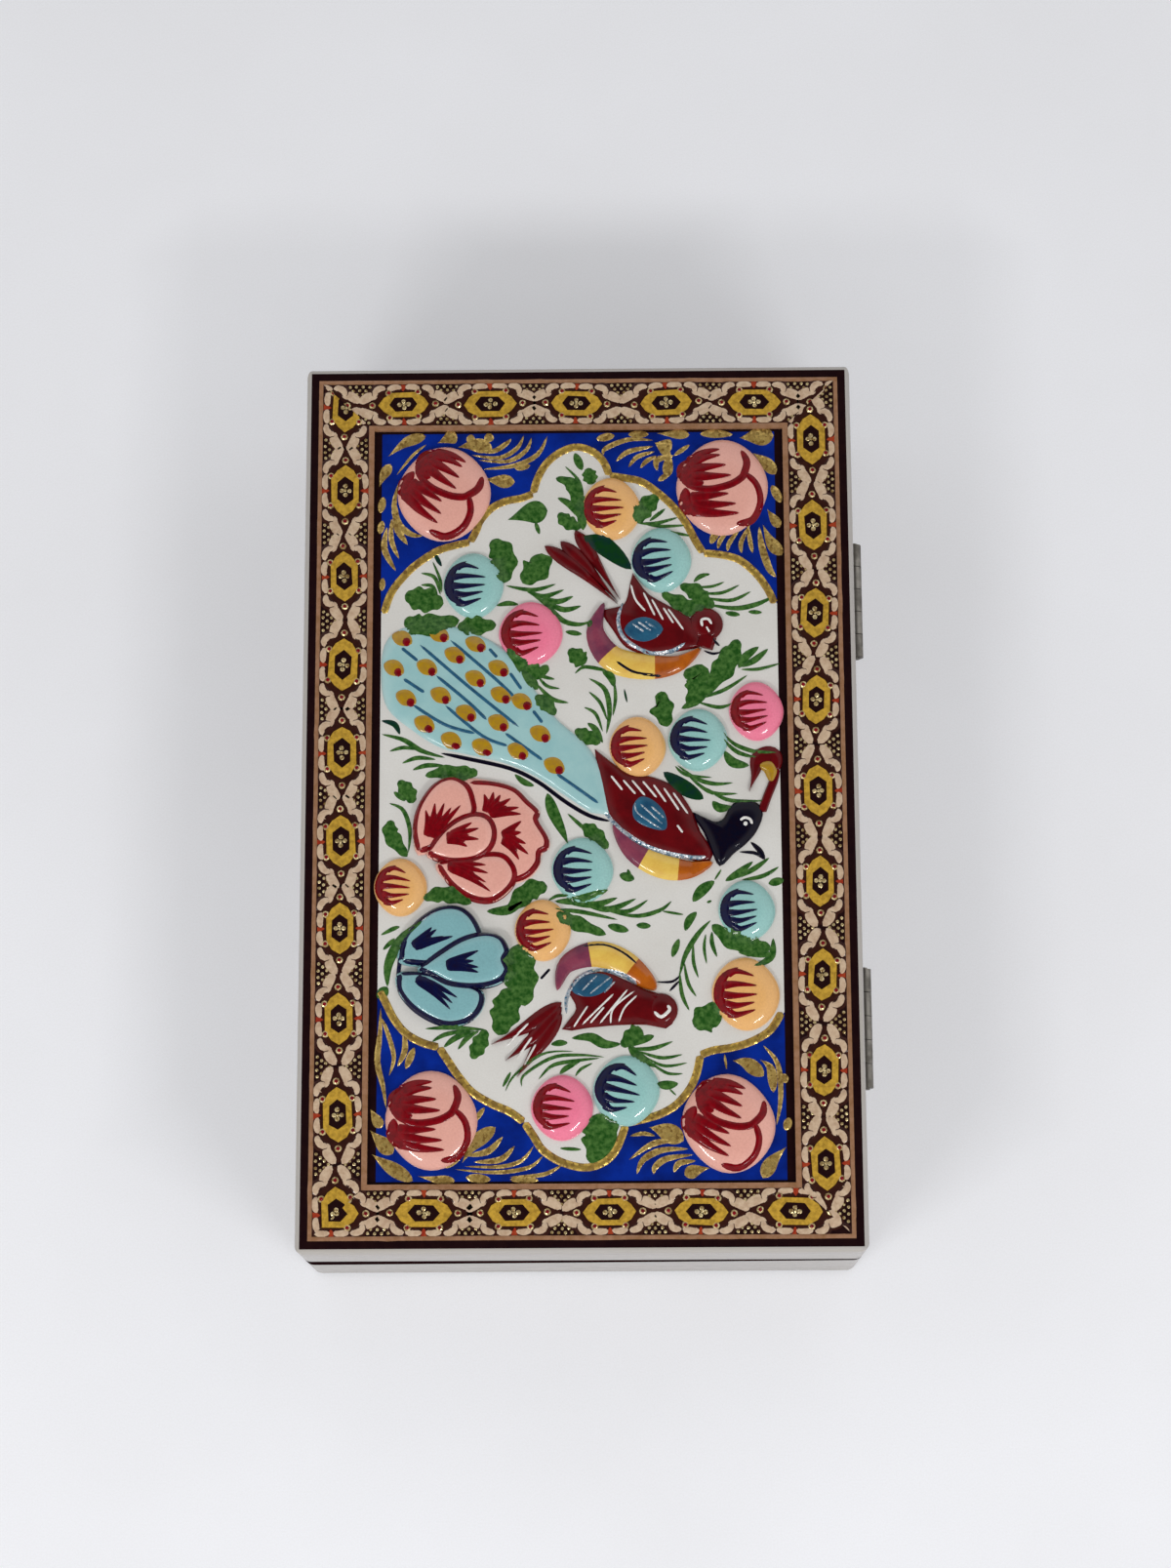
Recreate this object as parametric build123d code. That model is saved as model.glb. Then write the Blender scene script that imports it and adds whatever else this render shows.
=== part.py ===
"""Keepsake box with a hinged lid, a mosaic-inlaid border and a raised painted picture.

The box lies flat, +Z up. The origin is the middle of its underside. The hinges are on the
+X side, called the back; the -X side, called the front, lifts. The near end is at -Y and
the far end at +Y. All sizes are in millimetres.
"""

import os
from math import hypot

from build123d import *

# Overall sizes of the closed box, without the hinge barrels and the raised picture
box_width = 120.0
box_length = 195.0
box_height = 45.0
lid_height = 17.0

# Case and lid carcass
wall_thickness = 6.0
base_thickness = 3.0
lid_board_thickness = 5.0
felt_thickness = 1.0
felt_inset = 2.0
lining_thickness = 1.0
lining_below_rim = 1.8
seam_gap = 0.4

# Pale skin outside the carcass, and the dark line round the mouth of the case
skin_thickness = 1.1
corner_radius = 2.2
seam_round = 0.6
dark_rim_front = 7.0
dark_rim_back = 2.0

# Rounded pale moulding round the top of the lid
edge_strip_height = 3.0
edge_round_width = 0.9
edge_round_drop = 1.8

# Layers of the inlaid border, from the outside in, and how thick they lie on the lid board
outer_line_width = 1.7
outer_tan_width = 0.9
mosaic_side_width = 10.2
mosaic_end_width = 9.6
inner_tan_width = 1.2
inner_line_side_width = 1.8
inner_line_end_width = 0.6
veneer_thickness = 2.0
picture_recess = 0.8

# Two butt hinges, let into both rims, with the barrels outside the back
hinge_length = 26.0
hinge_spacing = 96.0
hinge_leaf_width = 7.4
hinge_leaf_thickness = 0.9
hinge_barrel_radius = 1.6
hinge_barrel_stand_off = 1.2
hinge_pin_radius = 0.8
hinge_pin_overhang = 0.3
knuckle_count = 5
knuckle_gap = 0.15
leaf_gap = 0.2
mortise_clearance = 0.1
barrel_clearance = 0.2
pin_running_clearance = 0.05
pin_tight_clearance = 0.01

# Hinge screws, two in each leaf
screw_spacing = 16.0
screw_from_leaf_end = 3.0
screw_head_radius = 1.5
screw_head_depth = 0.7
screw_shank_radius = 0.8
screw_length = 5.5
screw_clearance = 0.03

# The raised picture was drawn for a panel of this size, and follows the panel if it changes
drawing_width = 86.2
drawing_length = 164.8
corner_bud_height = 3.0
bud_height = 2.6
rose_height = 3.2
bird_height = 1.6
tail_height = 1.4

# Raised domes as (across, along, radius) in the drawing, from the middle of the panel
corner_buds = [(-29.5, 68.5, 9.8), (31.5, 69.5, 9.8), (-31.5, -69.5, 9.4), (31.0, -70.5, 9.4)]
blue_buds = [
    (-23.0, 47.5, 6.5),
    (18.0, 53.0, 6.5),
    (25.5, 12.5, 6.2),
    (0.5, -16.0, 6.4),
    (35.5, -25.0, 5.9),
    (9.5, -63.5, 6.8),
]
orange_buds = [
    (7.2, 64.8, 6.3),
    (12.5, 11.0, 6.0),
    (-38.4, -19.5, 5.6),
    (-8.0, -29.0, 5.9),
    (35.0, -43.0, 7.0),
]
pink_buds = [(-10.5, 36.5, 6.6), (38.2, 18.8, 5.8), (-4.0, -67.0, 6.3)]
red_rose = (-21.0, -9.5, 13.4)
blue_rose = (-26.5, -37.0, 12.0)

# Outlines of the raised birds in the drawing
peacock_tail = [
    (-43, 28), (-41, 35), (-31, 38), (-22, 35), (-16, 27.5),
    (-6, 21), (-1, 12), (3.5, 3), (1, -3), (-8, 1.5),
    (-20, 4.5), (-33, 11), (-41, 19),
]
peacock_body = [
    (5.5, 0), (12, 2.8), (20, 2), (27, -1), (33, -1.5),
    (38, -3.5), (40, -8), (40.5, -13), (37, -10.5), (33.5, -11.5),
    (30.5, -15), (25, -17.5), (16, -15.5), (9.5, -11.5), (6, -6),
]
upper_bird = [
    (-7.5, 57.5), (-1, 59), (4, 52), (9, 48), (14, 44),
    (20.5, 42), (25.5, 42), (30, 39.5), (31.5, 35), (27, 34),
    (24.5, 30.5), (18, 26.5), (11, 27.5), (5, 32), (3.5, 39),
    (0, 48),
]
lower_bird = [
    (-19, -53.5), (-14, -59.5), (-7, -53.5), (0, -51), (8, -52.5),
    (15, -51), (20, -48), (21.5, -40), (17, -41.5), (12, -37.5),
    (6, -34.5), (0, -33.5), (-6, -36.5), (-8.5, -43), (-13, -49),
]

# Heights and places worked out from the sizes above
case_height = box_height - lid_height - seam_gap / 2
lid_bottom = box_height - lid_height + seam_gap / 2
seam_middle = box_height - lid_height
base_top = felt_thickness + base_thickness
floor_top = base_top + lining_thickness
veneer_bottom = box_height - veneer_thickness
board_bottom = veneer_bottom - lid_board_thickness
edge_strip_bottom = box_height - edge_strip_height
picture_top = box_height - picture_recess
carcass_width = box_width - 2 * skin_thickness
carcass_length = box_length - 2 * skin_thickness
inside_width = carcass_width - 2 * wall_thickness
inside_length = carcass_length - 2 * wall_thickness
hinge_axis_x = box_width / 2 + hinge_barrel_stand_off
SIDES = ("front", "back", "near_end", "far_end")

parts = {}


def block(width, length, bottom, top):
    """A plain block centred on the Z axis."""
    return Pos(0, 0, (bottom + top) / 2) * Box(width, length, top - bottom)


def rounded_block(width, length, radius, bottom, top):
    """A block whose upright corners are rounded."""
    return Pos(0, 0, bottom) * extrude(RectangleRounded(width, length, radius), top - bottom)


def outline_block(points, bottom, top):
    """A block with a straight-sided outline."""
    return Pos(0, 0, bottom) * extrude(make_face(Polyline(*points, close=True)), top - bottom)


def mitred(side, width, length, side_width, end_width, bottom, top):
    """One of the four strips of a mitred frame that is width by length outside."""
    x, y = width / 2, length / 2
    u, v = x - side_width, y - end_width
    corners = {
        "front": [(-x, -y), (-u, -v), (-u, v), (-x, y)],
        "back": [(x, -y), (u, -v), (u, v), (x, y)],
        "near_end": [(-x, -y), (x, -y), (u, -v), (-u, -v)],
        "far_end": [(-x, y), (x, y), (u, v), (-u, v)],
    }[side]
    return outline_block(corners, bottom, top)


def frame_group(width, length, side_width, end_width, bottom, top):
    """All four strips of a mitred frame as separate solids in one group."""
    strips = [mitred(side, width, length, side_width, end_width, bottom, top) for side in SIDES]
    return Compound(children=strips)


def along_side(side, profile):
    """Runs a profile, drawn as (distance in from the outer face, height), along one side."""
    starts = {
        "front": ((-box_width / 2, 0, 0), (1, 0, 0), box_length),
        "back": ((box_width / 2, 0, 0), (-1, 0, 0), box_length),
        "near_end": ((0, -box_length / 2, 0), (0, 1, 0), box_width),
        "far_end": ((0, box_length / 2, 0), (0, -1, 0), box_width),
    }
    place, inward, run = starts[side]
    plane = Plane(origin=place, x_dir=inward, z_dir=Vector(*inward).cross(Vector(0, 0, 1)))
    return extrude(plane * profile, run / 2, both=True)


def carcass_wall(side, bottom, top):
    """A mitred wall of the case, or a rail of the lid."""
    return mitred(side, carcass_width, carcass_length, wall_thickness, wall_thickness, bottom, top)


def skin_piece(side, profile, bottom, top):
    """A mitred piece of outer skin with a shaped section and a rounded upright corner."""
    mitre = mitred(side, box_width, box_length, skin_thickness, skin_thickness, bottom, top)
    shell = rounded_block(box_width, box_length, corner_radius, bottom, top)
    return along_side(side, profile) & mitre & shell


def hinge_places():
    """The far and the near hinge, as a name and its place along the back."""
    return (("far", hinge_spacing / 2), ("near", -hinge_spacing / 2))


def rod(radius, length, y, x=hinge_axis_x, z=seam_middle):
    """A round bar along Y."""
    return Pos(x, y, z) * Rot(90, 0, 0) * Cylinder(radius, length)


def leaf_levels(of_lid):
    """Lowest and highest level of a hinge leaf."""
    if of_lid:
        low = seam_middle + leaf_gap / 2
        return low, low + hinge_leaf_thickness
    high = seam_middle - leaf_gap / 2
    return high - hinge_leaf_thickness, high


def hinge_recess(of_lid):
    """What is cut out of a rim for both hinges: leaf mortises and room for the barrels."""
    low, high = leaf_levels(of_lid)
    inner = hinge_axis_x - hinge_leaf_width - mortise_clearance
    if of_lid:
        low, high = lid_bottom - seam_gap, high
    else:
        low, high = low, case_height + seam_gap
    cuts = []
    for _, y in hinge_places():
        length = hinge_length + 2 * mortise_clearance
        middle = (inner + hinge_axis_x) / 2
        cuts.append(Pos(middle, y, (low + high) / 2) * Box(hinge_axis_x - inner, length, high - low))
        cuts.append(rod(hinge_barrel_radius + barrel_clearance, length, y))
    return cuts


def screw_places(y):
    """Where the two screws of the leaf at y go, across and along."""
    x = hinge_axis_x - hinge_leaf_width + screw_from_leaf_end
    return [(x, y - screw_spacing / 2), (x, y + screw_spacing / 2)]


def screw(x, y, of_lid, clearance=0.0):
    """A countersunk screw, or with a clearance the hole that it sits in."""
    low, high = leaf_levels(of_lid)
    head = Cone(screw_shank_radius + clearance, screw_head_radius + clearance, screw_head_depth)
    shank_length = screw_length - screw_head_depth + clearance
    shank = Cylinder(screw_shank_radius + clearance, shank_length)
    body = Pos(0, 0, -screw_head_depth / 2) * head + Pos(0, 0, -screw_head_depth - shank_length / 2) * shank
    if of_lid:
        return Pos(x, y, low) * Rot(180, 0, 0) * body
    return Pos(x, y, high) * body


def screw_holes(of_lid):
    """The holes of all the screws in the case or in the lid."""
    return [screw(*place, of_lid, screw_clearance) for _, y in hinge_places() for place in screw_places(y)]


def cut_all(solid, tools):
    """The solid with every tool cut out of it."""
    for tool in tools:
        solid = solid - tool
    return solid


def hinge_leaf(y, of_lid):
    """One leaf with its share of the knuckles."""
    low, high = leaf_levels(of_lid)
    pitch = hinge_length / knuckle_count
    inner = hinge_axis_x - hinge_leaf_width
    reach = hinge_axis_x - hinge_barrel_radius - barrel_clearance
    solid = Pos((inner + reach) / 2, y, (low + high) / 2) * Box(reach - inner, hinge_length, high - low)
    for i in range(knuckle_count):
        if (i % 2 == 1) != of_lid:
            continue
        middle = y - hinge_length / 2 + (i + 0.5) * pitch
        length = pitch - knuckle_gap
        web = Box(hinge_axis_x - reach, length, high - low)
        solid = solid + Pos((reach + hinge_axis_x) / 2, middle, (low + high) / 2) * web
        solid = solid + rod(hinge_barrel_radius, length, middle)
    clearance = pin_running_clearance if of_lid else pin_tight_clearance
    solid = solid - rod(hinge_pin_radius + clearance, hinge_length + 2, y)
    return cut_all(solid, [screw(*place, of_lid, screw_clearance) for place in screw_places(y)])


def drawn(x, y):
    """A point of the drawing on the panel as it is now."""
    return x * panel_width / drawing_width, y * panel_length / drawing_length


def dome(place, height):
    """A raised dome on the painted panel."""
    x, y, radius = place
    radius = radius * drawing_scale
    rise = min(height, 0.8 * radius)
    profile = make_face([
        Line((0, 0), (radius, 0)),
        RadiusArc((radius, 0), (0, rise), -(radius**2 + rise**2) / (2 * rise)),
        Line((0, rise), (0, 0)),
    ])
    solid = revolve(Plane.XZ * profile, Axis.Z)
    return Pos(*drawn(x, y), picture_top) * solid


def raised_outline(points, height):
    """A raised bird with a smooth outline on the painted panel."""
    curve = Spline(*[drawn(*p) for p in points], periodic=True)
    return Pos(0, 0, picture_top) * extrude(make_face(curve), height)


def box_profile(bottom, top):
    """A plain section of the skin."""
    return Pos(skin_thickness / 2, (bottom + top) / 2) * Rectangle(skin_thickness, top - bottom)


def rounded_profile(bottom, top, round_top):
    """A section of the skin whose outer corner at the seam is rounded."""
    face = box_profile(bottom, top)
    seam = top if round_top else bottom
    corner = face.vertices().sort_by(lambda v: hypot(v.X, v.Y - seam))[0]
    return fillet(corner, seam_round)


def edge_profile():
    """The section of the rounded moulding round the top of the lid."""
    shoulder = box_height - edge_round_drop
    return make_face([
        Line((0, edge_strip_bottom), (0, shoulder)),
        EllipticalCenterArc(
            (edge_round_width, shoulder), edge_round_width, edge_round_drop, start_angle=90, arc_size=90
        ),
        Line((edge_round_width, box_height), (skin_thickness, box_height)),
        Line((skin_thickness, box_height), (skin_thickness, edge_strip_bottom)),
        Line((skin_thickness, edge_strip_bottom), (0, edge_strip_bottom)),
    ])


# Case: felt, base board and four mitred walls
parts["base_felt"] = block(box_width - 2 * felt_inset, box_length - 2 * felt_inset, 0, felt_thickness)
parts["base_board"] = block(carcass_width, carcass_length, felt_thickness, base_top)
for side in SIDES:
    wall = carcass_wall(side, base_top, case_height)
    if side == "back":
        wall = cut_all(wall, hinge_recess(False) + screw_holes(False))
    parts["wall_" + side] = wall

# Case skin: pale bands under a dark line that is deeper at the front
half = box_width / 2
back_level = case_height - dark_rim_back
front_level = case_height - dark_rim_front
below_dark_rim = Polyline((-half, 0), (half, 0), (half, back_level), (-half, front_level), close=True)
below_dark_rim = extrude(Plane.XZ * make_face(below_dark_rim), box_length, both=True)
for side in SIDES:
    profile = rounded_profile(felt_thickness, case_height, True)
    skin = skin_piece(side, profile, felt_thickness, case_height)
    if side == "back":
        skin = cut_all(skin, hinge_recess(False))
    parts["case_band_" + side] = skin & below_dark_rim
    parts["rim_line_" + side] = skin - below_dark_rim

# Case lining
parts["floor_lining"] = block(inside_width, inside_length, base_top, floor_top)
lining_top = case_height - lining_below_rim
parts["wall_lining"] = frame_group(
    inside_width, inside_length, lining_thickness, lining_thickness, floor_top, lining_top
)

# Lid: board, four mitred rails and their lining
parts["lid_board"] = block(carcass_width, carcass_length, board_bottom, veneer_bottom)
for side in SIDES:
    rail = carcass_wall(side, lid_bottom, board_bottom)
    if side == "back":
        rail = cut_all(rail, hinge_recess(True) + screw_holes(True))
    parts["lid_rail_" + side] = rail
lid_lining_bottom = board_bottom - lining_thickness
lid_wall_bottom = lid_bottom + lining_below_rim
parts["lid_lining"] = block(inside_width, inside_length, lid_lining_bottom, board_bottom)
parts["lid_wall_lining"] = frame_group(
    inside_width, inside_length, lining_thickness, lining_thickness, lid_wall_bottom, lid_lining_bottom
)

# Lid skin: pale bands and the rounded moulding above them
for side in SIDES:
    profile = rounded_profile(lid_bottom, edge_strip_bottom, False)
    band = skin_piece(side, profile, lid_bottom, edge_strip_bottom)
    if side == "back":
        band = cut_all(band, hinge_recess(True))
    parts["lid_band_" + side] = band
    parts["edge_strip_" + side] = skin_piece(side, edge_profile(), edge_strip_bottom, box_height)

# Inlaid border, from the outside in
width, length = carcass_width, carcass_length
low, high = veneer_bottom, box_height
for name, strip in (("outer_dark_line", outer_line_width), ("outer_tan_line", outer_tan_width)):
    parts[name] = frame_group(width, length, strip, strip, low, high)
    width, length = width - 2 * strip, length - 2 * strip
for side in SIDES:
    parts["mosaic_" + side] = mitred(side, width, length, mosaic_side_width, mosaic_end_width, low, high)
width, length = width - 2 * mosaic_side_width, length - 2 * mosaic_end_width
parts["inner_tan_line"] = frame_group(width, length, inner_tan_width, inner_tan_width, low, high)
width, length = width - 2 * inner_tan_width, length - 2 * inner_tan_width
side_line, end_line = inner_line_side_width, inner_line_end_width
parts["inner_dark_line"] = frame_group(width, length, side_line, end_line, low, picture_top)
panel_width, panel_length = width - 2 * side_line, length - 2 * end_line
parts["painted_panel"] = block(panel_width, panel_length, veneer_bottom, picture_top)

# Raised picture
drawing_scale = min(panel_width / drawing_width, panel_length / drawing_length)
parts["corner_buds"] = Compound(children=[dome(p, corner_bud_height) for p in corner_buds])
parts["blue_buds"] = Compound(children=[dome(p, bud_height) for p in blue_buds])
parts["orange_buds"] = Compound(children=[dome(p, bud_height) for p in orange_buds])
parts["pink_buds"] = Compound(children=[dome(p, bud_height) for p in pink_buds])
parts["red_rose"] = dome(red_rose, rose_height)
parts["blue_rose"] = dome(blue_rose, rose_height)
parts["peacock_tail"] = raised_outline(peacock_tail, tail_height)
parts["peacock_body"] = raised_outline(peacock_body, bird_height)
parts["upper_bird"] = raised_outline(upper_bird, bird_height)
parts["lower_bird"] = raised_outline(lower_bird, bird_height)

# Hinges: leaves, pins and screws
for name, y in hinge_places():
    parts[name + "_hinge_case_leaf"] = hinge_leaf(y, False)
    parts[name + "_hinge_lid_leaf"] = hinge_leaf(y, True)
    parts[name + "_hinge_pin"] = rod(hinge_pin_radius, hinge_length + 2 * hinge_pin_overhang, y)
for name, of_lid in (("case_hinge_screws", False), ("lid_hinge_screws", True)):
    screws = [screw(*place, of_lid) for _, y in hinge_places() for place in screw_places(y)]
    parts[name] = Compound(children=screws)

os.makedirs("parts", exist_ok=True)
for name, shape in parts.items():
    export_step(shape, "parts/" + name + ".step")
print(len(parts), "sub-parts written")
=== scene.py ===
"""Looks of an inlaid keepsake box: bone-coloured edging, a mosaic border of small medallions and a
lacquered picture of birds and flowers, raised on the lid. The sizes in this file are millimetres,
and the finished meshes are metres. +X is the hinge side, +Y the far end and +Z up."""

import bisect
import math
import random

import bmesh
import bpy
from bpy.props import FloatProperty, FloatVectorProperty, IntProperty, PointerProperty
from mathutils import Matrix, Vector
from mathutils.bvhtree import BVHTree


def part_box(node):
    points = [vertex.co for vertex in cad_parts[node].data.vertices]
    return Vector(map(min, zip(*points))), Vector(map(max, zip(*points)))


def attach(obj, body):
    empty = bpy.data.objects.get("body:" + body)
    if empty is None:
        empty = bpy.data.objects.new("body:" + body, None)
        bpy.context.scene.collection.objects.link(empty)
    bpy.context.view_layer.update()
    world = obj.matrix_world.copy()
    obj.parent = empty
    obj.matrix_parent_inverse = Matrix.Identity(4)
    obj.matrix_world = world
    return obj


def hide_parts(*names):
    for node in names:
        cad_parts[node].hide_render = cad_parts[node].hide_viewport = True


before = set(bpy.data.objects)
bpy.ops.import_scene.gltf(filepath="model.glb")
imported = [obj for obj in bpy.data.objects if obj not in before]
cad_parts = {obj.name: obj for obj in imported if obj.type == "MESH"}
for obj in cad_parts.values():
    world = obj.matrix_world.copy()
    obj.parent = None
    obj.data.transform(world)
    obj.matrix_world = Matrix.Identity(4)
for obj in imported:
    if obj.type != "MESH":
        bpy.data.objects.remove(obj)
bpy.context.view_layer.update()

bl_info = {
    "name": "Inlaid box",
    "version": (1, 0, 0),
    "blender": (4, 5, 0),
    "location": "View3D > Sidebar > Inlaid Box",
    "description": "Finishes the woodwork, the mosaic border and the raised picture of a keepsake box",
    "category": "Object",
}

MM = 0.001
PANEL_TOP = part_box("painted_panel")[1].z / MM
BORDER_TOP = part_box("mosaic_front")[1].z / MM
PANEL_HALF_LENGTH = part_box("painted_panel")[1].y / MM
# Painted shapes reach this far into what lies under them.
SINK = 0.04
SHARP_ANGLE = math.radians(50)
# Strokes of one piece differ a little in height, so that they stay apart where they cross.
ORDER_STEP = 0.004
ORDER_STEPS = 9


def colour(name, value, description):
    """A colour that the sidebar shows."""
    return FloatVectorProperty(
        name=name, description=description, default=value, subtype="COLOR", size=3, min=0.0, max=1.0
    )


class PaintColours(bpy.types.PropertyGroup):
    """Colours of the box's paints and materials, in linear light."""

    ivory: colour("Ivory", (0.77, 0.755, 0.72), "Ground of the picture")
    cobalt: colour("Cobalt", (0.003, 0.026, 0.30), "Fields at both ends of the picture")
    cobalt_deep: colour("Deep cobalt", (0.002, 0.007, 0.09), "Uneven patches in the fields")
    gold: colour("Gold", (0.66, 0.44, 0.09), "Gold of the scrolls")
    gold_deep: colour("Deep gold", (0.188, 0.102, 0.013), "Dark grains in the gold")
    gold_pale: colour("Pale gold", (0.76, 0.53, 0.16), "Bright grains in the gold")
    corner_bud: colour("Corner bud", (0.83, 0.43, 0.352), "Four large buds")
    dark_red: colour("Dark red", (0.235, 0.0018, 0.0065), "Lines on warm petals")
    blue_bud: colour("Blue bud", (0.328, 0.61, 0.578), "Pale blue buds")
    ink: colour("Ink", (0.0022, 0.0025, 0.012), "Head of the large bird")
    navy: colour("Navy", (0.0037, 0.006, 0.045), "Lines on cool petals")
    orange_bud: colour("Orange bud", (0.871, 0.485, 0.171), "Orange buds")
    pink: colour("Pink bud", (0.939, 0.223, 0.352), "Pink buds")
    red_rose: colour("Red rose", (0.86, 0.44, 0.36), "Petals of the red rose")
    blue_rose: colour("Blue rose", (0.242, 0.485, 0.515), "Petals of the blue rose")
    tail: colour("Tail", (0.376, 0.61, 0.61), "Spread tail of the large bird")
    ochre: colour("Ochre", (0.456, 0.262, 0.007), "Eyes of the tail")
    bird_red: colour("Bird red", (0.141, 0.0037, 0.006), "Backs of the birds")
    yellow: colour("Yellow", (0.83, 0.578, 0.114), "Breasts of the birds")
    orange: colour("Orange", (0.515, 0.127, 0.007), "Warm patches of the birds")
    mauve: colour("Mauve", (0.262, 0.053, 0.091), "Cool patches of the birds")
    teal: colour("Teal", (0.026, 0.127, 0.223), "Wings of the birds")
    leaf: colour("Leaf", (0.012, 0.072, 0.008), "Leaves and grasses")
    leaf_dark: colour("Dark leaf", (0.0048, 0.045, 0.007), "Shadowed leaves")
    leaf_light: colour("Thin leaf", (0.095, 0.215, 0.05), "Places where the green is thin")
    petal: colour("Inlay petal", (0.65, 0.49, 0.34), "Bone petals of the border")
    petal_shade: colour("Inlay shade", (0.36, 0.20, 0.12), "Stain in the bone petals")
    stain: colour("Inlay stain", (0.042, 0.012, 0.008), "Stained ground between the petals")
    inlay_yellow: colour("Inlay yellow", (0.62, 0.37, 0.045), "Hexagons of the border")
    ebony: colour("Ebony", (0.017, 0.0048, 0.0048), "Ground of the border")
    brass: colour("Brass", (0.716, 0.578, 0.305), "Brass dots of the border")
    wedge: colour("Inlay red", (0.376, 0.053, 0.017), "Red wedges of the border")
    dark_line: colour("Dark line", (0.0097, 0.0024, 0.0037), "Dark stringing")
    tan: colour("Tan line", (0.36, 0.19, 0.11), "Tan stringing")
    # The edging's pale colour, set darker than it looks in full light so that the sides look shaded: partly
    # painted shade.
    skin: colour("Skin", (0.47, 0.445, 0.425), "Pale edging and sides")
    # Skin shade is also the colour of the painted shade at the foot of the pale sides.
    skin_shade: colour("Skin shade", (0.43, 0.39, 0.33), "Streaks and soil in the pale edging")
    wood: colour("Wood", (0.46, 0.27, 0.13), "Bare wood of the carcass")
    wood_dark: colour("Wood grain", (0.25, 0.12, 0.05), "Grain of the carcass")
    velvet: colour("Velvet", (0.36, 0.012, 0.03), "Pile of the lining")
    velvet_deep: colour("Velvet shadow", (0.20, 0.005, 0.016), "Shadows in the pile")
    felt: colour("Felt", (0.015, 0.06, 0.03), "Felt under the base")
    felt_deep: colour("Felt shadow", (0.006, 0.028, 0.014), "Shadows in the felt")
    hinge: colour("Hinge", (0.30, 0.28, 0.25), "Polished hinge metal")
    hinge_worn: colour("Worn hinge", (0.07, 0.062, 0.052), "Tarnish on the hinges")
    silver: colour("Silver", (0.70, 0.72, 0.74), "Silver strokes on the wings")
    white: colour("White", (0.86, 0.85, 0.82), "White strokes on the birds")
    floor: colour("Floor", (0.776, 0.783, 0.815), "Table under the box")


class PictureSizes(bpy.types.PropertyGroup):
    """Heights and thicknesses of the raised picture, in millimetres."""

    line_thickness: FloatProperty(
        name="Painted line", description="Thickness of a painted line", default=0.09, min=0.01, max=0.5
    )
    leaf_thickness: FloatProperty(
        name="Leaf", description="Thickness of a painted leaf", default=0.13, min=0.01, max=0.5
    )
    gold_thickness: FloatProperty(
        name="Gold", description="Thickness of the raised gold line", default=0.25, min=0.01, max=1.0
    )
    inlay_thickness: FloatProperty(
        name="Inlay", description="How far the inlaid chips stand proud", default=0.05, min=0.01, max=0.3
    )
    bud_height: FloatProperty(name="Bud", description="Height of a bud", default=2.6, min=0.5, max=5.0)
    corner_height: FloatProperty(
        name="Corner bud", description="Height of a corner bud", default=3.0, min=0.5, max=5.0
    )
    bird_height: FloatProperty(name="Bird", description="Height of a bird", default=1.6, min=0.3, max=4.0)
    tail_height: FloatProperty(name="Tail", description="Height of the tail", default=1.4, min=0.3, max=4.0)
    seed: IntProperty(name="Seed", description="Seed of the hand-made unevenness", default=7, min=0)


class StageSettings(bpy.types.PropertyGroup):
    """The camera, the lamps and the floor."""

    eye: FloatVectorProperty(
        name="Eye", description="Place of the camera", default=(0.0084, -0.1618, 0.7493), subtype="XYZ"
    )
    target: FloatVectorProperty(
        name="Target", description="Point that the camera looks at", default=(0.00124, 0.00277, 0.045),
        subtype="XYZ",
    )
    above: FloatVectorProperty(
        name="Up", description="Direction that is up in the picture", default=(0.00688, 0.97377, 0.22742),
        subtype="DIRECTION",
    )
    lens: FloatProperty(name="Lens", description="Focal length in millimetres", default=77.29, min=10.0)
    lamp_power: FloatProperty(name="Lamp power", description="Watts of each strip lamp", default=1.15, min=0)
    sky: FloatProperty(name="Sky", description="Strength of the light from the sides", default=0.80, min=0)
    zenith: FloatProperty(name="Zenith", description="Strength of the light overhead", default=0.07, min=0)
    backdrop: FloatProperty(name="Backdrop", description="Brightness behind the floor", default=0.78, min=0)


def tint(name):
    """A colour of the sidebar, with full opacity."""
    return (*getattr(bpy.context.scene.box_colours, name), 1.0)


# Nodes and materials

COLOUR = "NodeSocketColor"
NUMBER = "NodeSocketFloat"
DIRECTION = "NodeSocketVector"
MIX_FACTOR = 0
MIX_A = 6
MIX_B = 7
MIX_RESULT = 2


def feed(tree, node, inputs):
    """Sets a node's inputs to values, or links them to the sockets that feed them."""
    for key, value in inputs.items():
        if isinstance(value, bpy.types.NodeSocket):
            tree.links.new(value, node.inputs[key])
        else:
            node.inputs[key].default_value = value


def add(tree, kind, inputs=None, **settings):
    """A new node with its settings, whose inputs are values or the sockets that feed them."""
    node = tree.nodes.new(kind)
    for name, value in settings.items():
        setattr(node, name, value)
    feed(tree, node, inputs or {})
    return node


def mixed(tree, factor, first, second):
    """The colour between two colours."""
    inputs = {MIX_FACTOR: factor, MIX_A: first, MIX_B: second}
    return add(tree, "ShaderNodeMix", inputs, data_type="RGBA").outputs[MIX_RESULT]


def ranged(tree, value, low, high, to_low, to_high):
    """A value moved from one range to another, and held inside it."""
    inputs = {"Value": value, "From Min": low, "From Max": high, "To Min": to_low, "To Max": to_high}
    return add(tree, "ShaderNodeMapRange", inputs).outputs["Result"]


def noise(tree, place, scale, detail=3.0, roughness=0.55):
    """Noise from 0 to 1, with a scale in waves per metre."""
    inputs = {"Vector": place, "Scale": scale, "Detail": detail, "Roughness": roughness}
    return add(tree, "ShaderNodeTexNoise", inputs).outputs[0]


def reckon(tree, operation, first, second=0.0):
    """The result of a sum on one or two values."""
    return add(tree, "ShaderNodeMath", {0: first, 1: second}, operation=operation).outputs[0]


def piece_place(tree):
    """The place on a piece, in metres."""
    return add(tree, "ShaderNodeTexCoord").outputs["Object"]


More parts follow.
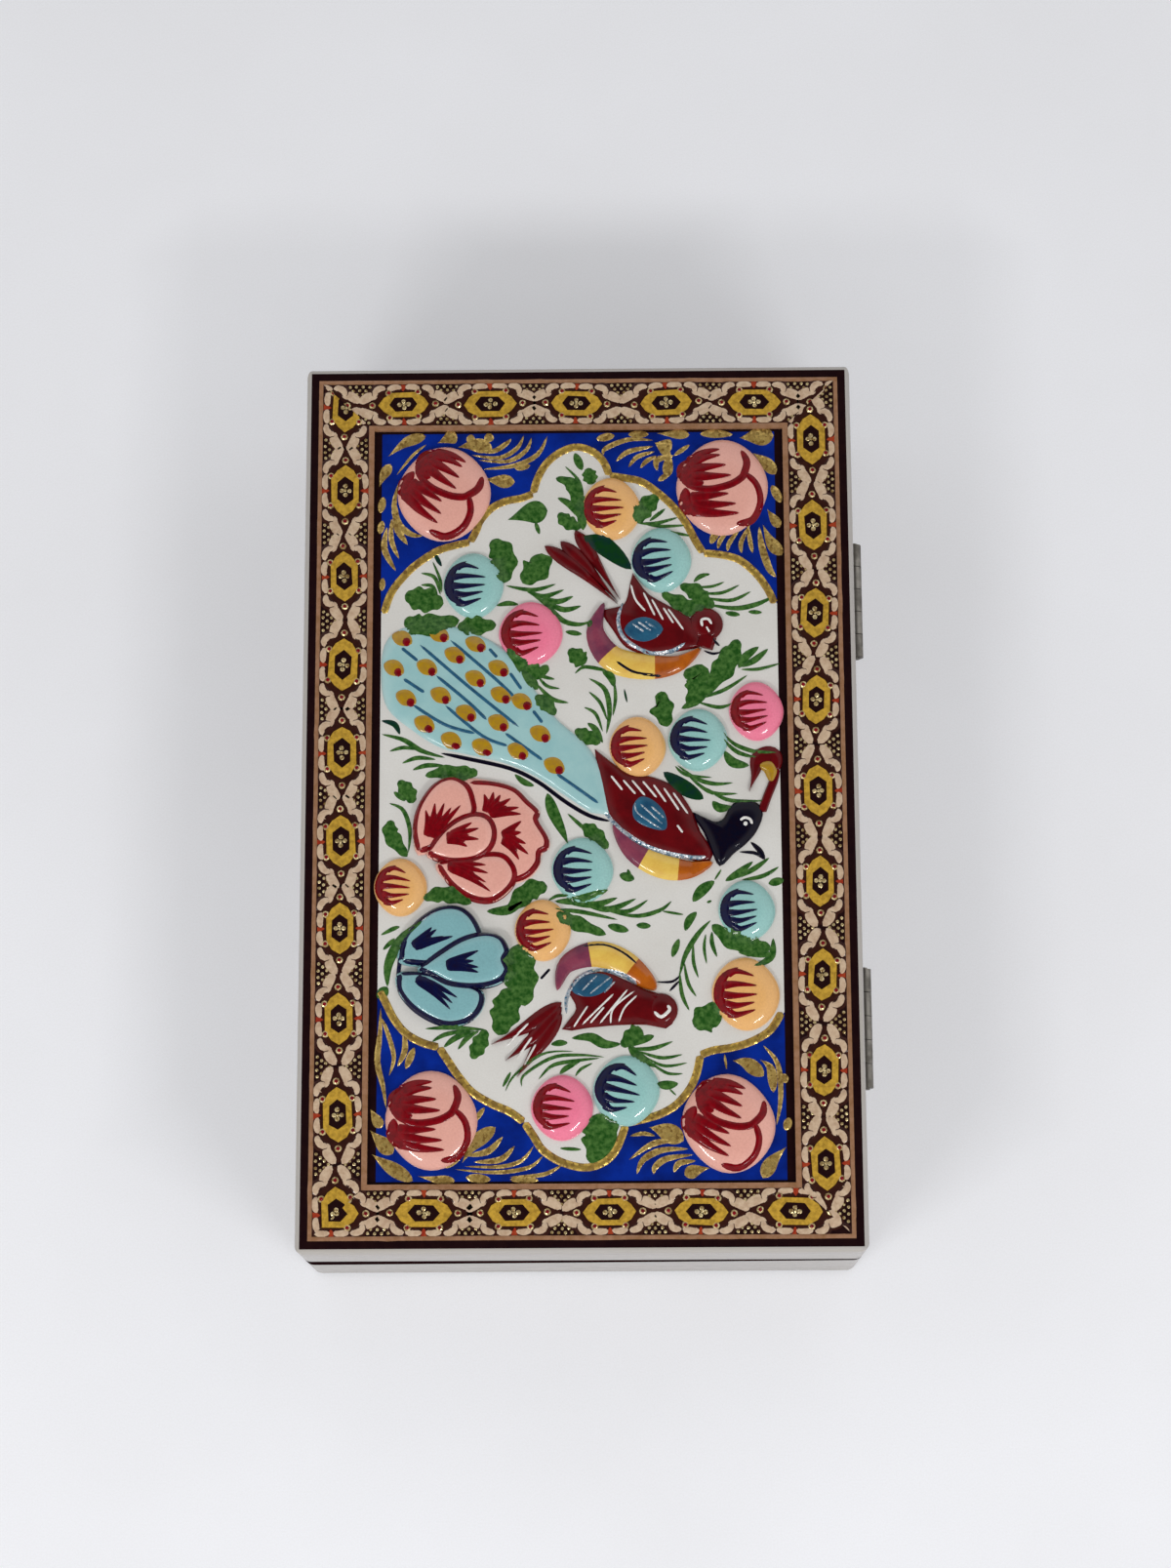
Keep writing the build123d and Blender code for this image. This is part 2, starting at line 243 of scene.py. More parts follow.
def new_group(name, inputs, outputs):
    """A node group with named sockets, the sockets that bring its inputs and its output node."""
    tree = bpy.data.node_groups.new(name, "ShaderNodeTree")
    for title, kind, value in inputs:
        tree.interface.new_socket(title, in_out="INPUT", socket_type=kind).default_value = value
    for title, kind in outputs:
        tree.interface.new_socket(title, in_out="OUTPUT", socket_type=kind)
    return tree, add(tree, "NodeGroupInput").outputs, add(tree, "NodeGroupOutput")


WHITE = (1.0, 1.0, 1.0, 1.0)
BLACK = (0.0, 0.0, 0.0, 1.0)
SURFACE_OUTPUTS = [("Color", COLOUR), ("Roughness", NUMBER), ("Height", NUMBER)]


# Waves per metre
PIGMENT_SCALE = 2600.0
SMEAR_SCALE = 90.0
WAVE_SCALE = 240.0
CLOUD_SCALE = 350.0
DULL_SCALE = 160.0
BRUSHED_SCALE = 70.0
DRAWN_STRETCH = (3000.0, 120.0, 3000.0)
TARNISH_SCALE = 260.0
EDGE_SCALE = 300.0


def lacquer_effect():
    """Hand-laid paint under lacquer: cloudy patches, fine pigment and a slow wave in the gloss."""
    inputs = [("Paint", COLOUR, WHITE), ("Shade", COLOUR, BLACK), ("Patch Scale", NUMBER, 250.0)]
    inputs += [("Patch Amount", NUMBER, 0.4), ("Gloss", NUMBER, 0.08)]
    tree, given, result = new_group("Hand-laid lacquer", inputs, SURFACE_OUTPUTS)
    place = piece_place(tree)
    patches = noise(tree, place, given["Patch Scale"], 4.0)
    amount = ranged(tree, patches, 0.38, 0.68, 0.0, given["Patch Amount"])
    painted = mixed(tree, amount, given["Paint"], given["Shade"])
    pigment = ranged(tree, noise(tree, place, PIGMENT_SCALE, 2.0), 0.35, 0.7, 0.0, 0.12)
    smear = ranged(tree, noise(tree, place, SMEAR_SCALE), 0.3, 0.7, 0.0, 0.06)
    colour_out = mixed(tree, pigment, painted, given["Shade"])
    roughness = reckon(tree, "ADD", given["Gloss"], smear)
    wave = noise(tree, place, WAVE_SCALE, 2.0)
    feed(tree, result, {"Color": colour_out, "Roughness": roughness, "Height": wave})
    return tree


def gold_effect():
    """Powdered gold: grains of two brightnesses that glint apart."""
    inputs = [("Bright", COLOUR, WHITE), ("Deep", COLOUR, BLACK), ("Grain", NUMBER, 1800.0)]
    outputs = SURFACE_OUTPUTS + [("Metal", NUMBER)]
    tree, given, result = new_group("Powdered gold", inputs, outputs)
    place = piece_place(tree)
    grains = add(tree, "ShaderNodeTexVoronoi", {"Vector": place, "Scale": given["Grain"]}).outputs
    lightness = add(tree, "ShaderNodeRGBToBW", {"Color": grains["Color"]}).outputs[0]
    both = reckon(tree, "MULTIPLY", lightness, noise(tree, place, CLOUD_SCALE))
    factor = ranged(tree, both, 0.08, 0.42, 0.0, 1.0)
    colour_out = mixed(tree, factor, given["Deep"], given["Bright"])
    roughness = ranged(tree, lightness, 0.2, 0.8, 0.5, 0.22)
    metal = ranged(tree, both, 0.1, 0.5, 0.25, 0.75)
    feed(tree, result, {"Color": colour_out, "Roughness": roughness, "Metal": metal})
    tree.links.new(grains["Distance"], result.inputs["Height"])
    return tree


def grain_effect():
    """Streaks that run one way: wood grain, or the layers of a pale veneer."""
    inputs = [("Light", COLOUR, WHITE), ("Dark", COLOUR, BLACK)]
    inputs += [("Stretch", DIRECTION, (300.0, 20.0, 300.0)), ("Amount", NUMBER, 0.6), ("Gloss", NUMBER, 0.4)]
    tree, given, result = new_group("Grain streaks", inputs, SURFACE_OUTPUTS)
    place = piece_place(tree)
    stretched = add(tree, "ShaderNodeMapping", {"Vector": place, "Scale": given["Stretch"]}).outputs[0]
    streaks = noise(tree, stretched, 1.0, 6.0, 0.65)
    factor = ranged(tree, streaks, 0.42, 0.66, 0.0, given["Amount"])
    dull = ranged(tree, noise(tree, place, DULL_SCALE), 0.3, 0.7, 0.0, 0.1)
    colour_out = mixed(tree, factor, given["Light"], given["Dark"])
    roughness = reckon(tree, "ADD", given["Gloss"], dull)
    feed(tree, result, {"Color": colour_out, "Roughness": roughness, "Height": streaks})
    return tree


def nap_effect():
    """Pile of velvet or felt: short fibres with brushed, cloudy shading."""
    inputs = [("Pile", COLOUR, WHITE), ("Shadow", COLOUR, BLACK), ("Fibre", NUMBER, 2500.0)]
    tree, given, result = new_group("Brushed nap", inputs, SURFACE_OUTPUTS)
    place = piece_place(tree)
    fibre = noise(tree, place, given["Fibre"], 3.0, 0.7)
    clouds = noise(tree, place, BRUSHED_SCALE)
    factor = ranged(tree, reckon(tree, "MULTIPLY", fibre, clouds), 0.15, 0.4, 0.0, 1.0)
    colour_out = mixed(tree, factor, given["Shadow"], given["Pile"])
    roughness = ranged(tree, clouds, 0.3, 0.7, 0.98, 0.82)
    feed(tree, result, {"Color": colour_out, "Roughness": roughness, "Height": fibre})
    return tree


def worn_metal_effect():
    """Drawn sheet metal with tarnish between rubbed places."""
    inputs = [("Metal Color", COLOUR, WHITE), ("Tarnish", COLOUR, BLACK)]
    tree, given, result = new_group("Drawn metal", inputs, SURFACE_OUTPUTS)
    place = piece_place(tree)
    stretched = add(tree, "ShaderNodeMapping", {"Vector": place, "Scale": DRAWN_STRETCH}).outputs[0]
    scratches = noise(tree, stretched, 1.0, 4.0, 0.7)
    stain = ranged(tree, noise(tree, place, TARNISH_SCALE, 4.0), 0.42, 0.62, 0.0, 0.6)
    colour_out = mixed(tree, stain, given["Metal Color"], given["Tarnish"])
    roughness = ranged(tree, stain, 0.0, 0.6, 0.28, 0.5)
    feed(tree, result, {"Color": colour_out, "Roughness": roughness, "Height": scratches})
    return tree


def height_tint_effect():
    """Another colour near a height: where paint thins over an edge, where soil gathers in a joint, and
    painted shade near the floor.
    """
    inputs = [("Color", COLOUR, WHITE), ("Near Color", COLOUR, BLACK), ("Level", NUMBER, 0.0)]
    inputs += [("Reach", NUMBER, 0.001), ("Strength", NUMBER, 1.0)]
    tree, given, result = new_group("Tint near a height", inputs, [("Color", COLOUR)])
    place = piece_place(tree)
    height = add(tree, "ShaderNodeSeparateXYZ", {0: place}).outputs["Z"]
    away = reckon(tree, "ABSOLUTE", reckon(tree, "SUBTRACT", height, given["Level"]))
    uneven = ranged(tree, noise(tree, place, EDGE_SCALE), 0.3, 0.7, 0.6, 1.3)
    reach = reckon(tree, "MULTIPLY", given["Reach"], uneven)
    factor = ranged(tree, away, 0.0, reach, given["Strength"], 0.0)
    feed(tree, result, {"Color": mixed(tree, factor, given["Color"], given["Near Color"])})
    return tree


EFFECTS = {
    "lacquer": lacquer_effect,
    "gold": gold_effect,
    "grain": grain_effect,
    "nap": nap_effect,
    "metal": worn_metal_effect,
    "height": height_tint_effect,
}
BUILT_EFFECTS = {}


def effect(tree, name, values):
    """An effect's node group, placed in a material with its own values."""
    if name not in BUILT_EFFECTS:
        BUILT_EFFECTS[name] = EFFECTS[name]()
    node = add(tree, "ShaderNodeGroup", node_tree=BUILT_EFFECTS[name])
    feed(tree, node, values)
    return node


def surface(title, kind, values, bump=0.05, constants=None, over=()):
    """A material made of one effect, with more tints over its colour. bump is in millimetres."""
    known = bpy.data.materials.get(title)
    if known:
        return known
    made = bpy.data.materials.new(title)
    made.use_nodes = True
    tree = made.node_tree
    tree.nodes.clear()
    base = effect(tree, kind, values)
    shade = base.outputs["Color"]
    for tinted in over:
        shade = effect(tree, "height", {"Color": shade, **tinted}).outputs["Color"]
    relief = add(tree, "ShaderNodeBump", {"Distance": bump * MM, "Height": base.outputs["Height"]})
    inputs = {"Base Color": shade, "Roughness": base.outputs["Roughness"], "Normal": relief.outputs[0]}
    shader = add(tree, "ShaderNodeBsdfPrincipled", {**inputs, **(constants or {})})
    if "Metal" in base.outputs:
        tree.links.new(base.outputs["Metal"], shader.inputs["Metallic"])
    add(tree, "ShaderNodeOutputMaterial", {"Surface": shader.outputs[0]})
    return made


# Paints whose brightest channel is below the limit reflect less.
DARK_IOR = 1.28
DARK_LIMIT = 0.31
GOLD_BUMP = 0.05


def lacquer(title, paint, shade, scale=250.0, amount=0.4, gloss=0.08, bump=0.05, over=()):
    """Lacquered paint of two of the sidebar's colours. Dark paints reflect less."""
    values = {"Paint": tint(paint), "Shade": tint(shade), "Patch Scale": scale}
    values.update({"Patch Amount": amount, "Gloss": gloss})
    constants = {"IOR": DARK_IOR} if max(tint(paint)[:3]) < DARK_LIMIT else {}
    return surface(title, "lacquer", values, bump, constants, over)


def gold(title, bright="gold_pale", deep="gold_deep", grain=1800.0):
    """Powdered gold."""
    values = {"Bright": tint(bright), "Deep": tint(deep), "Grain": grain}
    return surface(title, "gold", values, GOLD_BUMP)


def line_paint(title, paint):
    """Thin, dark paint for lines."""
    return lacquer(title, paint, "dark_line", 900.0, 0.4, 0.08)


def pale_foot(reach, strength):
    """A paler tint where paint thins out at the foot of a raised shape. The reach is in millimetres."""
    return {"Near Color": tint("white"), "Level": PANEL_TOP * MM, "Reach": reach * MM, "Strength": strength}


# Curves, strokes and raised shapes


def catmull(four, u):
    """The place and the heading between the middle two of four points."""
    p0, p1, p2, p3 = (Vector(p) for p in four)
    square = 2 * p0 - 5 * p1 + 4 * p2 - p3
    cube = 3 * p1 - p0 - 3 * p2 + p3
    place = 0.5 * (2 * p1 + (p2 - p0) * u + square * u * u + cube * u**3)
    heading = 0.5 * ((p2 - p0) + 2 * square * u + 3 * cube * u * u)
    return place, heading.normalized()


def along(points, t):
    """The place and heading at t, from 0 to 1, on the smooth curve through the points."""
    spans = len(points) - 1
    k = min(int(t * spans), spans - 1)
    four = [points[max(k - 1, 0)], points[k], points[k + 1], points[min(k + 2, spans)]]
    return catmull(four, t * spans - k)


def leaf(t):
    """Width that swells in the middle."""
    return max(0.0, math.sin(math.pi * t)) ** 0.8


def plump(t):
    """Width of a blunt petal."""
    return max(0.0, math.sin(math.pi * t)) ** 0.5


def brush(t):
    """Width that starts full and runs out."""
    return min(1.0, 9 * t) ** 0.5 * max(0.0, 1 - t) ** 0.7


def comma(t):
    """Width that swells late."""
    return max(0.0, math.sin(math.pi * t**1.7)) ** 0.9


def club(t):
    """Width that swells early."""
    return comma(1 - t)


def line(t):
    """An even width with round ends."""
    return max(0.0, min(1.0, 8 * t, 8 * (1 - t))) ** 0.5


def even(t):
    """An even width with short round ends."""
    return max(0.0, min(1.0, 30 * t, 30 * (1 - t))) ** 0.5


def lobed(t):
    """Width of a broad leaf with ragged lobes."""
    return 1.12 * leaf(t) * (1 + 0.16 * math.sin(7 * math.pi * t + 0.6)) + 0.12 * line(t)


DOWN = Vector((0.0, 0.0, -1.0))
# A stroke is at its full thickness over most of its width.
CROWN = 1.16


class Ground:
    """The height of what is already on the lid, which painted strokes follow."""

    def __init__(self, level):
        self.level = level
        self.trees = []

    def take(self, bm):
        """Adds the shapes of a bmesh in millimetres."""
        self.trees.append(BVHTree.FromBMesh(bm))
        return self

    def take_pieces(self, names):
        """Adds finished pieces."""
        for name in names:
            bm = bmesh.new()
            bm.from_mesh(bpy.data.objects[name].data)
            bmesh.ops.scale(bm, vec=(1 / MM, 1 / MM, 1 / MM), verts=bm.verts)
            self.take(bm)
            bm.free()
        return self

    def height(self, x, y):
        """The highest surface at a place."""
        best = self.level
        for tree in self.trees:
            hit = tree.ray_cast(Vector((x, y, 2 * self.level)), DOWN)[0]
            if hit is not None:
                best = max(best, hit.z)
        return best


def pairs(numbers):
    """Points from a flat row of x and y."""
    return list(zip(numbers[0::2], numbers[1::2]))


def new_ball(bm, sides, rings, tone=0):
    """A new sphere's points and its faces, all of one material."""
    points = bmesh.ops.create_uvsphere(bm, u_segments=sides, v_segments=rings, radius=1.0)["verts"]
    faces = {face for point in points for face in point.link_faces}
    for face in faces:
        face.material_index = tone
    return points, faces


def stroke(bm, points, width, shape, thickness, ground, tone=0, sides=6, rings=9, order=0):
    """A closed, thin ribbon of paint along points: the poles of a sphere are its two ends. The tone is
    a material's place, or pairs of how far along a material reaches and its place."""
    ball, faces = new_ball(bm, sides, rings)
    paces = {vert: math.acos(max(-1.0, min(1.0, vert.co.z))) / math.pi for vert in ball}
    reaches = ((1.0, tone),) if isinstance(tone, int) else tone
    for face in faces:
        pace = sum(paces[vert] for vert in face.verts) / len(face.verts)
        face.material_index = next(k for until, k in reaches if pace <= until)
    lift = ORDER_STEP * (order % ORDER_STEPS)
    for vert, t in paces.items():
        radius = math.hypot(vert.co.x, vert.co.y)
        across = vert.co.y / radius if radius > SINK else 0.0
        up = vert.co.x / radius if radius > SINK else 0.0
        place, heading = along(points, t)
        reach = 0.5 * width * shape(t) * across
        x = place.x + heading.y * reach
        y = place.y - heading.x * reach
        rise = lift + thickness * min(1.0, CROWN * up) if up > SINK else (0.0 if up > -SINK else -SINK)
        vert.co = (x, y, ground.height(x, y) + rise)


def paint(bm, strokes, shape, thickness, ground, tone=0, rings=9, order=0):
    """Strokes given as a width and then the x and y of each point."""
    for k, (width, *numbers) in enumerate(strokes):
        points = pairs(numbers)
        steps = rings + 3 * max(0, len(points) - 3)
        stroke(bm, points, width, shape, thickness, ground, tone, rings=steps, order=order + k)


DOT_RINGS = 4


def dot(bm, x, y, radius, thickness, ground, tone=0, sides=6, order=0):
    """A small round spot, a little domed."""
    ball = new_ball(bm, sides, DOT_RINGS, tone)[0]
    base = ground.height(x, y) + ORDER_STEP * (order % ORDER_STEPS)
    for vert in ball:
        rise = thickness * vert.co.z if vert.co.z > 0 else SINK * vert.co.z
        vert.co = (x + radius * vert.co.x, y + radius * vert.co.y, base + rise)


def outline(points, middle, steps=10):
    """The reach of the smooth closed curve through points, seen from middle, by angle."""
    count = len(points)
    samples = []
    for k in range(count):
        four = [points[(k + j) % count] for j in (-1, 0, 1, 2)]
        for step in range(steps):
            spoke = catmull(four, step / steps)[0] - Vector(middle)
            samples.append((math.atan2(spoke.y, spoke.x), spoke.length))
    samples.sort()
    turn = 2 * math.pi
    before = (samples[-1][0] - turn, samples[-1][1])
    beyond = (samples[0][0] + turn, samples[0][1])
    samples = [before, *samples, beyond]
    angles = [angle for angle, reach in samples]

    def reach(angle):
        after = min(max(bisect.bisect_left(angles, angle), 1), len(samples) - 1)
        a0, r0 = samples[after - 1]
        a1, r1 = samples[after]
        share = (angle - a0) / (a1 - a0) if a1 > a0 else 0.0
        return r0 + (r1 - r0) * share

    return reach


def relief(bm, middle, reach, height, tone=0, plateau=2.2, sides=48, rings=20, level=PANEL_TOP):
    """A raised, closed shape on the panel: domed where plateau is near 2, flat-topped where larger."""
    for vert in new_ball(bm, sides, rings, tone)[0]:
        share = min(1.0, math.hypot(vert.co.x, vert.co.y))
        angle = math.atan2(vert.co.y, vert.co.x)
        distance = share * reach(angle)
        if vert.co.z > SINK:
            z = level + height * max(0.0, 1 - share**plateau) ** 0.55
        else:
            z = level if vert.co.z > -SINK else level - 2 * SINK
        vert.co = (middle[0] + distance * math.cos(angle), middle[1] + distance * math.sin(angle), z)


def make_piece(name, bm, materials, slot, body="lid", stands_for=()):
    """Turns a bmesh in millimetres into a finished piece that rides on a body."""
    bmesh.ops.recalc_face_normals(bm, faces=bm.faces)
    for face in bm.faces:
        face.smooth = True
    for edge in bm.edges:
        edge.smooth = edge.calc_face_angle(0.0) < SHARP_ANGLE
    bmesh.ops.scale(bm, vec=(MM, MM, MM), verts=bm.verts)
    mesh = bpy.data.meshes.new(name)
    bm.to_mesh(mesh)
    bm.free()
    for material in materials:
        mesh.materials.append(material)
    piece = bpy.data.objects.new(name, mesh)
    bpy.context.scene.collection.objects.link(piece)
    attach(piece, body)
    if stands_for:
        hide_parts(*stands_for)
    return piece


# Woodwork, edging and hinges

LONG_GRAIN = (260.0, 14.0, 260.0)
CROSS_GRAIN = (14.0, 260.0, 260.0)
SIDE_SHINE = 0.15
SKIN_LONG = (500.0, 22.0, 900.0)
SKIN_CROSS = (22.0, 500.0, 900.0)


def dress(prefixes, material):
    """Gives a material to the frame's nodes whose names start so."""
    found = [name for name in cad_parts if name.startswith(prefixes)]
    if not found:
        raise RuntimeError(f"no piece of the frame starts with {prefixes}")
    for name in found:
        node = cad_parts[name]
        if not node.material_slots:
            node.data.materials.append(material)
        for place in node.material_slots:
            place.material = material


def pale_skin(title, stretch):
    """Polished, bone-coloured edging with faint layers, soil along its joints, and painted shade where the
    sides come down to the floor.
    """
    values = {"Light": tint("skin"), "Dark": tint("skin_shade"), "Stretch": stretch}
    values.update({"Amount": 0.45, "Gloss": 0.14})
    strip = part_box("edge_strip_front")[0].z
    soil = tint("wood_dark")
    over = [
        {"Near Color": soil, "Level": strip, "Reach": 0.00022, "Strength": 0.75},
        # Painted shade: the sides grow darker within about 4 mm of the floor.
        {"Near Color": tint("skin_shade"), "Level": 0.0, "Reach": 0.004, "Strength": 0.5},
    ]
    return surface(title, "grain", values, 0.03, {"Specular IOR Level": SIDE_SHINE}, over)


def bare_wood(title, stretch):
    """Unpolished carcass wood."""
    values = {"Light": tint("wood"), "Dark": tint("wood_dark"), "Stretch": stretch}
    values.update({"Amount": 0.8, "Gloss": 0.5})
    return surface(title, "grain", values, 0.12)


def tan_wood():
    """Stained wood of the tan stringing."""
    return lacquer("Tan stringing", "tan", "wood_dark", 700.0, 0.8, 0.15)


class FinishCase(bpy.types.Operator):
    """Gives the woodwork, the pale edging, the stringing and the hinges their finishes"""

    bl_idname = "inlaid_box.finish_case"
    bl_label = "Finish woodwork and hinges"
    bl_options = {"REGISTER", "UNDO"}

    def execute(self, context):
        long_wood = bare_wood("Carcass wood, long", LONG_GRAIN)
        cross_wood = bare_wood("Carcass wood, cross", CROSS_GRAIN)
        dress(("base_board", "lid_board", "wall_front", "wall_back"), long_wood)
        dress(("lid_rail_front", "lid_rail_back"), long_wood)
        dress(("wall_near", "wall_far", "lid_rail_near", "lid_rail_far"), cross_wood)
        long_skin = pale_skin("Pale skin, long", SKIN_LONG)
        cross_skin = pale_skin("Pale skin, cross", SKIN_CROSS)
        for part in ("case_band", "lid_band", "edge_strip"):
            dress((part + "_front", part + "_back"), long_skin)
            dress((part + "_near", part + "_far"), cross_skin)
        dark = lacquer("Dark stringing", "dark_line", "ebony", 500.0, 0.6, 0.12)
        dress(("outer_dark_line", "inner_dark_line"), dark)
        # The rim's dark stringing gets no reflection at all, so it also stands in for the shadow in the seam
        # between lid and case: partly painted shade.
        values = {"Paint": tint("dark_line"), "Shade": tint("ebony"), "Patch Scale": 500.0}
        values.update({"Patch Amount": 0.6, "Gloss": 0.3})
        dress(("rim_line",), surface("Dark rim", "lacquer", values, 0.05, {"Specular IOR Level": 0.0}))
        dress(("outer_tan_line", "inner_tan_line"), tan_wood())
        dress(("mosaic",), lacquer("Ebony ground", "ebony", "dark_line", 900.0, 0.7, 0.1))
        dress(("painted_panel",), lacquer("Ivory ground", "ivory", "skin_shade", 60.0, 0.16, 0.06, 0.06))
        values = {"Metal Color": tint("hinge"), "Tarnish": tint("hinge_worn")}
        metal = surface("Hinge metal", "metal", values, 0.01, {"Metallic": 1.0})
        hinges = ("far_hinge", "near_hinge", "case_hinge_screws", "lid_hinge_screws")
        dress(hinges, metal)
        return {"FINISHED"}


# Linings

LINING_ROUND = 0.35
WALL_CLOTH = 1.0


def cloth_slab(bm, low, high):
    """A thin slab of cloth between two corners, with soft edges."""
    verts = bmesh.ops.create_cube(bm, size=1.0)["verts"]
    bmesh.ops.scale(bm, vec=high - low, verts=verts)
    bmesh.ops.translate(bm, vec=(high + low) / 2, verts=verts)
    edges = list({edge for vert in verts for edge in vert.link_edges})
    reach = LINING_ROUND * min(high - low)
    bmesh.ops.bevel(bm, geom=edges, offset=reach, segments=2, profile=0.5, affect="EDGES", material=-1)


def lining(name, node, material, slot, body):
    """A cloth piece that takes the place of a plain lining."""
    bm = bmesh.new()
    low, high = (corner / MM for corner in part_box(node))
    cloth_slab(bm, low, high)
    return make_piece(name, bm, [material], slot, body, (node,))


def wall_cloth(name, node, material, slot, body):
    """Four strips of cloth round the inside of a wall."""
    low, high = (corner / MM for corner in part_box(node))
    bm = bmesh.new()
    for sign in (-1, 1):
        edge = low.x if sign < 0 else high.x
        inner = edge - sign * WALL_CLOTH
        start = Vector((min(edge, inner), low.y, low.z))
        cloth_slab(bm, start, Vector((max(edge, inner), high.y, high.z)))
        edge = low.y if sign < 0 else high.y
        inner = edge - sign * WALL_CLOTH
        start = Vector((low.x + WALL_CLOTH, min(edge, inner), low.z))
        cloth_slab(bm, start, Vector((high.x - WALL_CLOTH, max(edge, inner), high.z)))
    return make_piece(name, bm, [material], slot, body, (node,))


class LayLinings(bpy.types.Operator):
    """Lays velvet inside the case and the lid, and felt under the base"""

    bl_idname = "inlaid_box.lay_linings"
    bl_label = "Lay velvet and felt"
    bl_options = {"REGISTER", "UNDO"}

    def execute(self, context):
        values = {"Pile": tint("velvet"), "Shadow": tint("velvet_deep"), "Fibre": 2600.0}
        sheen = {"Sheen Weight": 0.6, "Sheen Roughness": 0.35, "Sheen Tint": (1.0, 0.55, 0.6, 1.0)}
        velvet = surface("Velvet", "nap", values, 0.15, sheen)
        values = {"Pile": tint("felt"), "Shadow": tint("felt_deep"), "Fibre": 1500.0}
        felt = surface("Felt", "nap", values, 0.25, {"Sheen Weight": 0.25})
        floor = lining("velvet_floor", "floor_lining", velvet, "velvet", "case")
        lid = lining("velvet_lid", "lid_lining", velvet, "velvet", "lid")
        base = lining("felt_base", "base_felt", felt, "felt", "case")
        walls = wall_cloth("velvet_walls", "wall_lining", velvet, "velvet", "case")
        rim = wall_cloth("velvet_lid_walls", "lid_wall_lining", velvet, "velvet", "lid")
        return {"FINISHED"}


# Mosaic border

SIDE_CENTRE = 51.2
SIDE_HALF = 5.1
END_CENTRE = 89.0
END_HALF = 4.8
LEFT_PLACES = (88.4, 69.2, 49.6, 29.6, 10.0, -9.5, -28.5, -47.9, -68.3, -89.1)
RIGHT_PLACES = (100.1, 80.2, 60.5, 40.6, 21.1, 0.9, -18.9, -39.1, -59.5, -79.1, -98.9)
FAR_PLACES = (-57.9, -38.5, -19.4, -0.4, 19.4, 38.8, 58.2)
NEAR_PLACES = (-52.2, -32.9, -14.1, 5.9, 25.0, 44.6)
# One medallion, from its centre: each point is a place along the border and then one across it. A
# petal's row starts with its width, and a flower dot's row ends with its radius.
AXIS_PETAL = (2.9, 5.6, 2.2, 7.3, 2.4, 8.9, 1.6, 10.1, 0.6)
INNER_PETAL = (2.3, 0.3, 4.1, 1.5, 4.4, 2.7, 4.3, 3.8, 3.9)
OUTER_PETAL = (2.6, 3.9, 4.1, 5.2, 4.2, 6.3, 3.4, 6.3, 2.0)
PETAL_RIM = 0.34
STAR = (
    (9.8, 0.5), (8.0, 2.1), (6.9, 3.4), (6.0, 5.05), (-6.0, 5.05), (-6.9, 3.4), (-8.0, 2.1), (-9.8, 0.5),
    (-9.8, -0.5), (-8.0, -2.1), (-6.9, -3.4), (-6.0, -5.05), (6.0, -5.05), (6.9, -3.4), (8.0, -2.1),
    (9.8, -0.5),
)
YELLOW_HEXAGON = (
    (5.7, 0.0), (4.6, 1.7), (2.6, 3.0), (-2.6, 3.0), (-4.6, 1.7), (-5.7, 0.0), (-4.6, -1.7), (-2.6, -3.0),
    (2.6, -3.0), (4.6, -1.7),
)
EBONY_HEXAGON = ((3.2, 0.0), (1.9, 1.75), (-1.9, 1.75), (-3.2, 0.0), (-1.9, -1.75), (1.9, -1.75))
FLOWER = ((0.95, 0, 0.72), (-0.95, 0, 0.72), (0, 0.82, 0.66), (0, -0.82, 0.66), (0, 0, 0.5))
RED_WEDGE = ((0.0, 3.3), (1.15, 5.0), (-1.15, 5.0))
EYES = ((7.0, 0.0), (-7.0, 0.0), (3.3, 3.1), (3.3, -3.1), (-3.3, 3.1), (-3.3, -3.1))
GAP_DOT = 0.36
GAP_DOTS = (
    (-2.1, 4.4), (-0.7, 4.5), (0.7, 4.5), (2.1, 4.4), (-1.4, 3.5), (0.0, 3.6), (1.4, 3.5),
    (-0.7, 2.65), (0.7, 2.65), (0.0, 1.8),
)
PETAL, STAIN, YELLOW, EBONY, RED, BRASS, WEDGE = range(7)
PETAL_RISE = 2
PETAL_STEP = 0.6
HEXAGON_RISE = 5
FLOWER_RISE = 7.4
RING_RISE = 7
RING_RADIUS = 0.8
PUPIL_RISE = 8
PUPIL_RADIUS = 0.6


def chip(bm, place, corners, tone, ground, thickness, order):
    """A flat inlaid chip with straight sides and a flat top."""
    points = [place(a, c) for a, c in corners]
    verts = [bm.verts.new((x, y, ground.level - SINK)) for x, y in points]
    face = bm.faces.new(verts)
    face.material_index = tone
    grown = bmesh.ops.extrude_face_region(bm, geom=[face])
    top = [item for item in grown["geom"] if isinstance(item, bmesh.types.BMVert)]
    bmesh.ops.translate(bm, vec=(0, 0, SINK + thickness + ORDER_STEP * order), verts=top)


def merge(bm, part):
    """Adds a small bmesh to a larger one and frees it."""
    mesh = bpy.data.meshes.new("part")
    part.to_mesh(mesh)
    part.free()
    bm.from_mesh(mesh)
    bpy.data.meshes.remove(mesh)


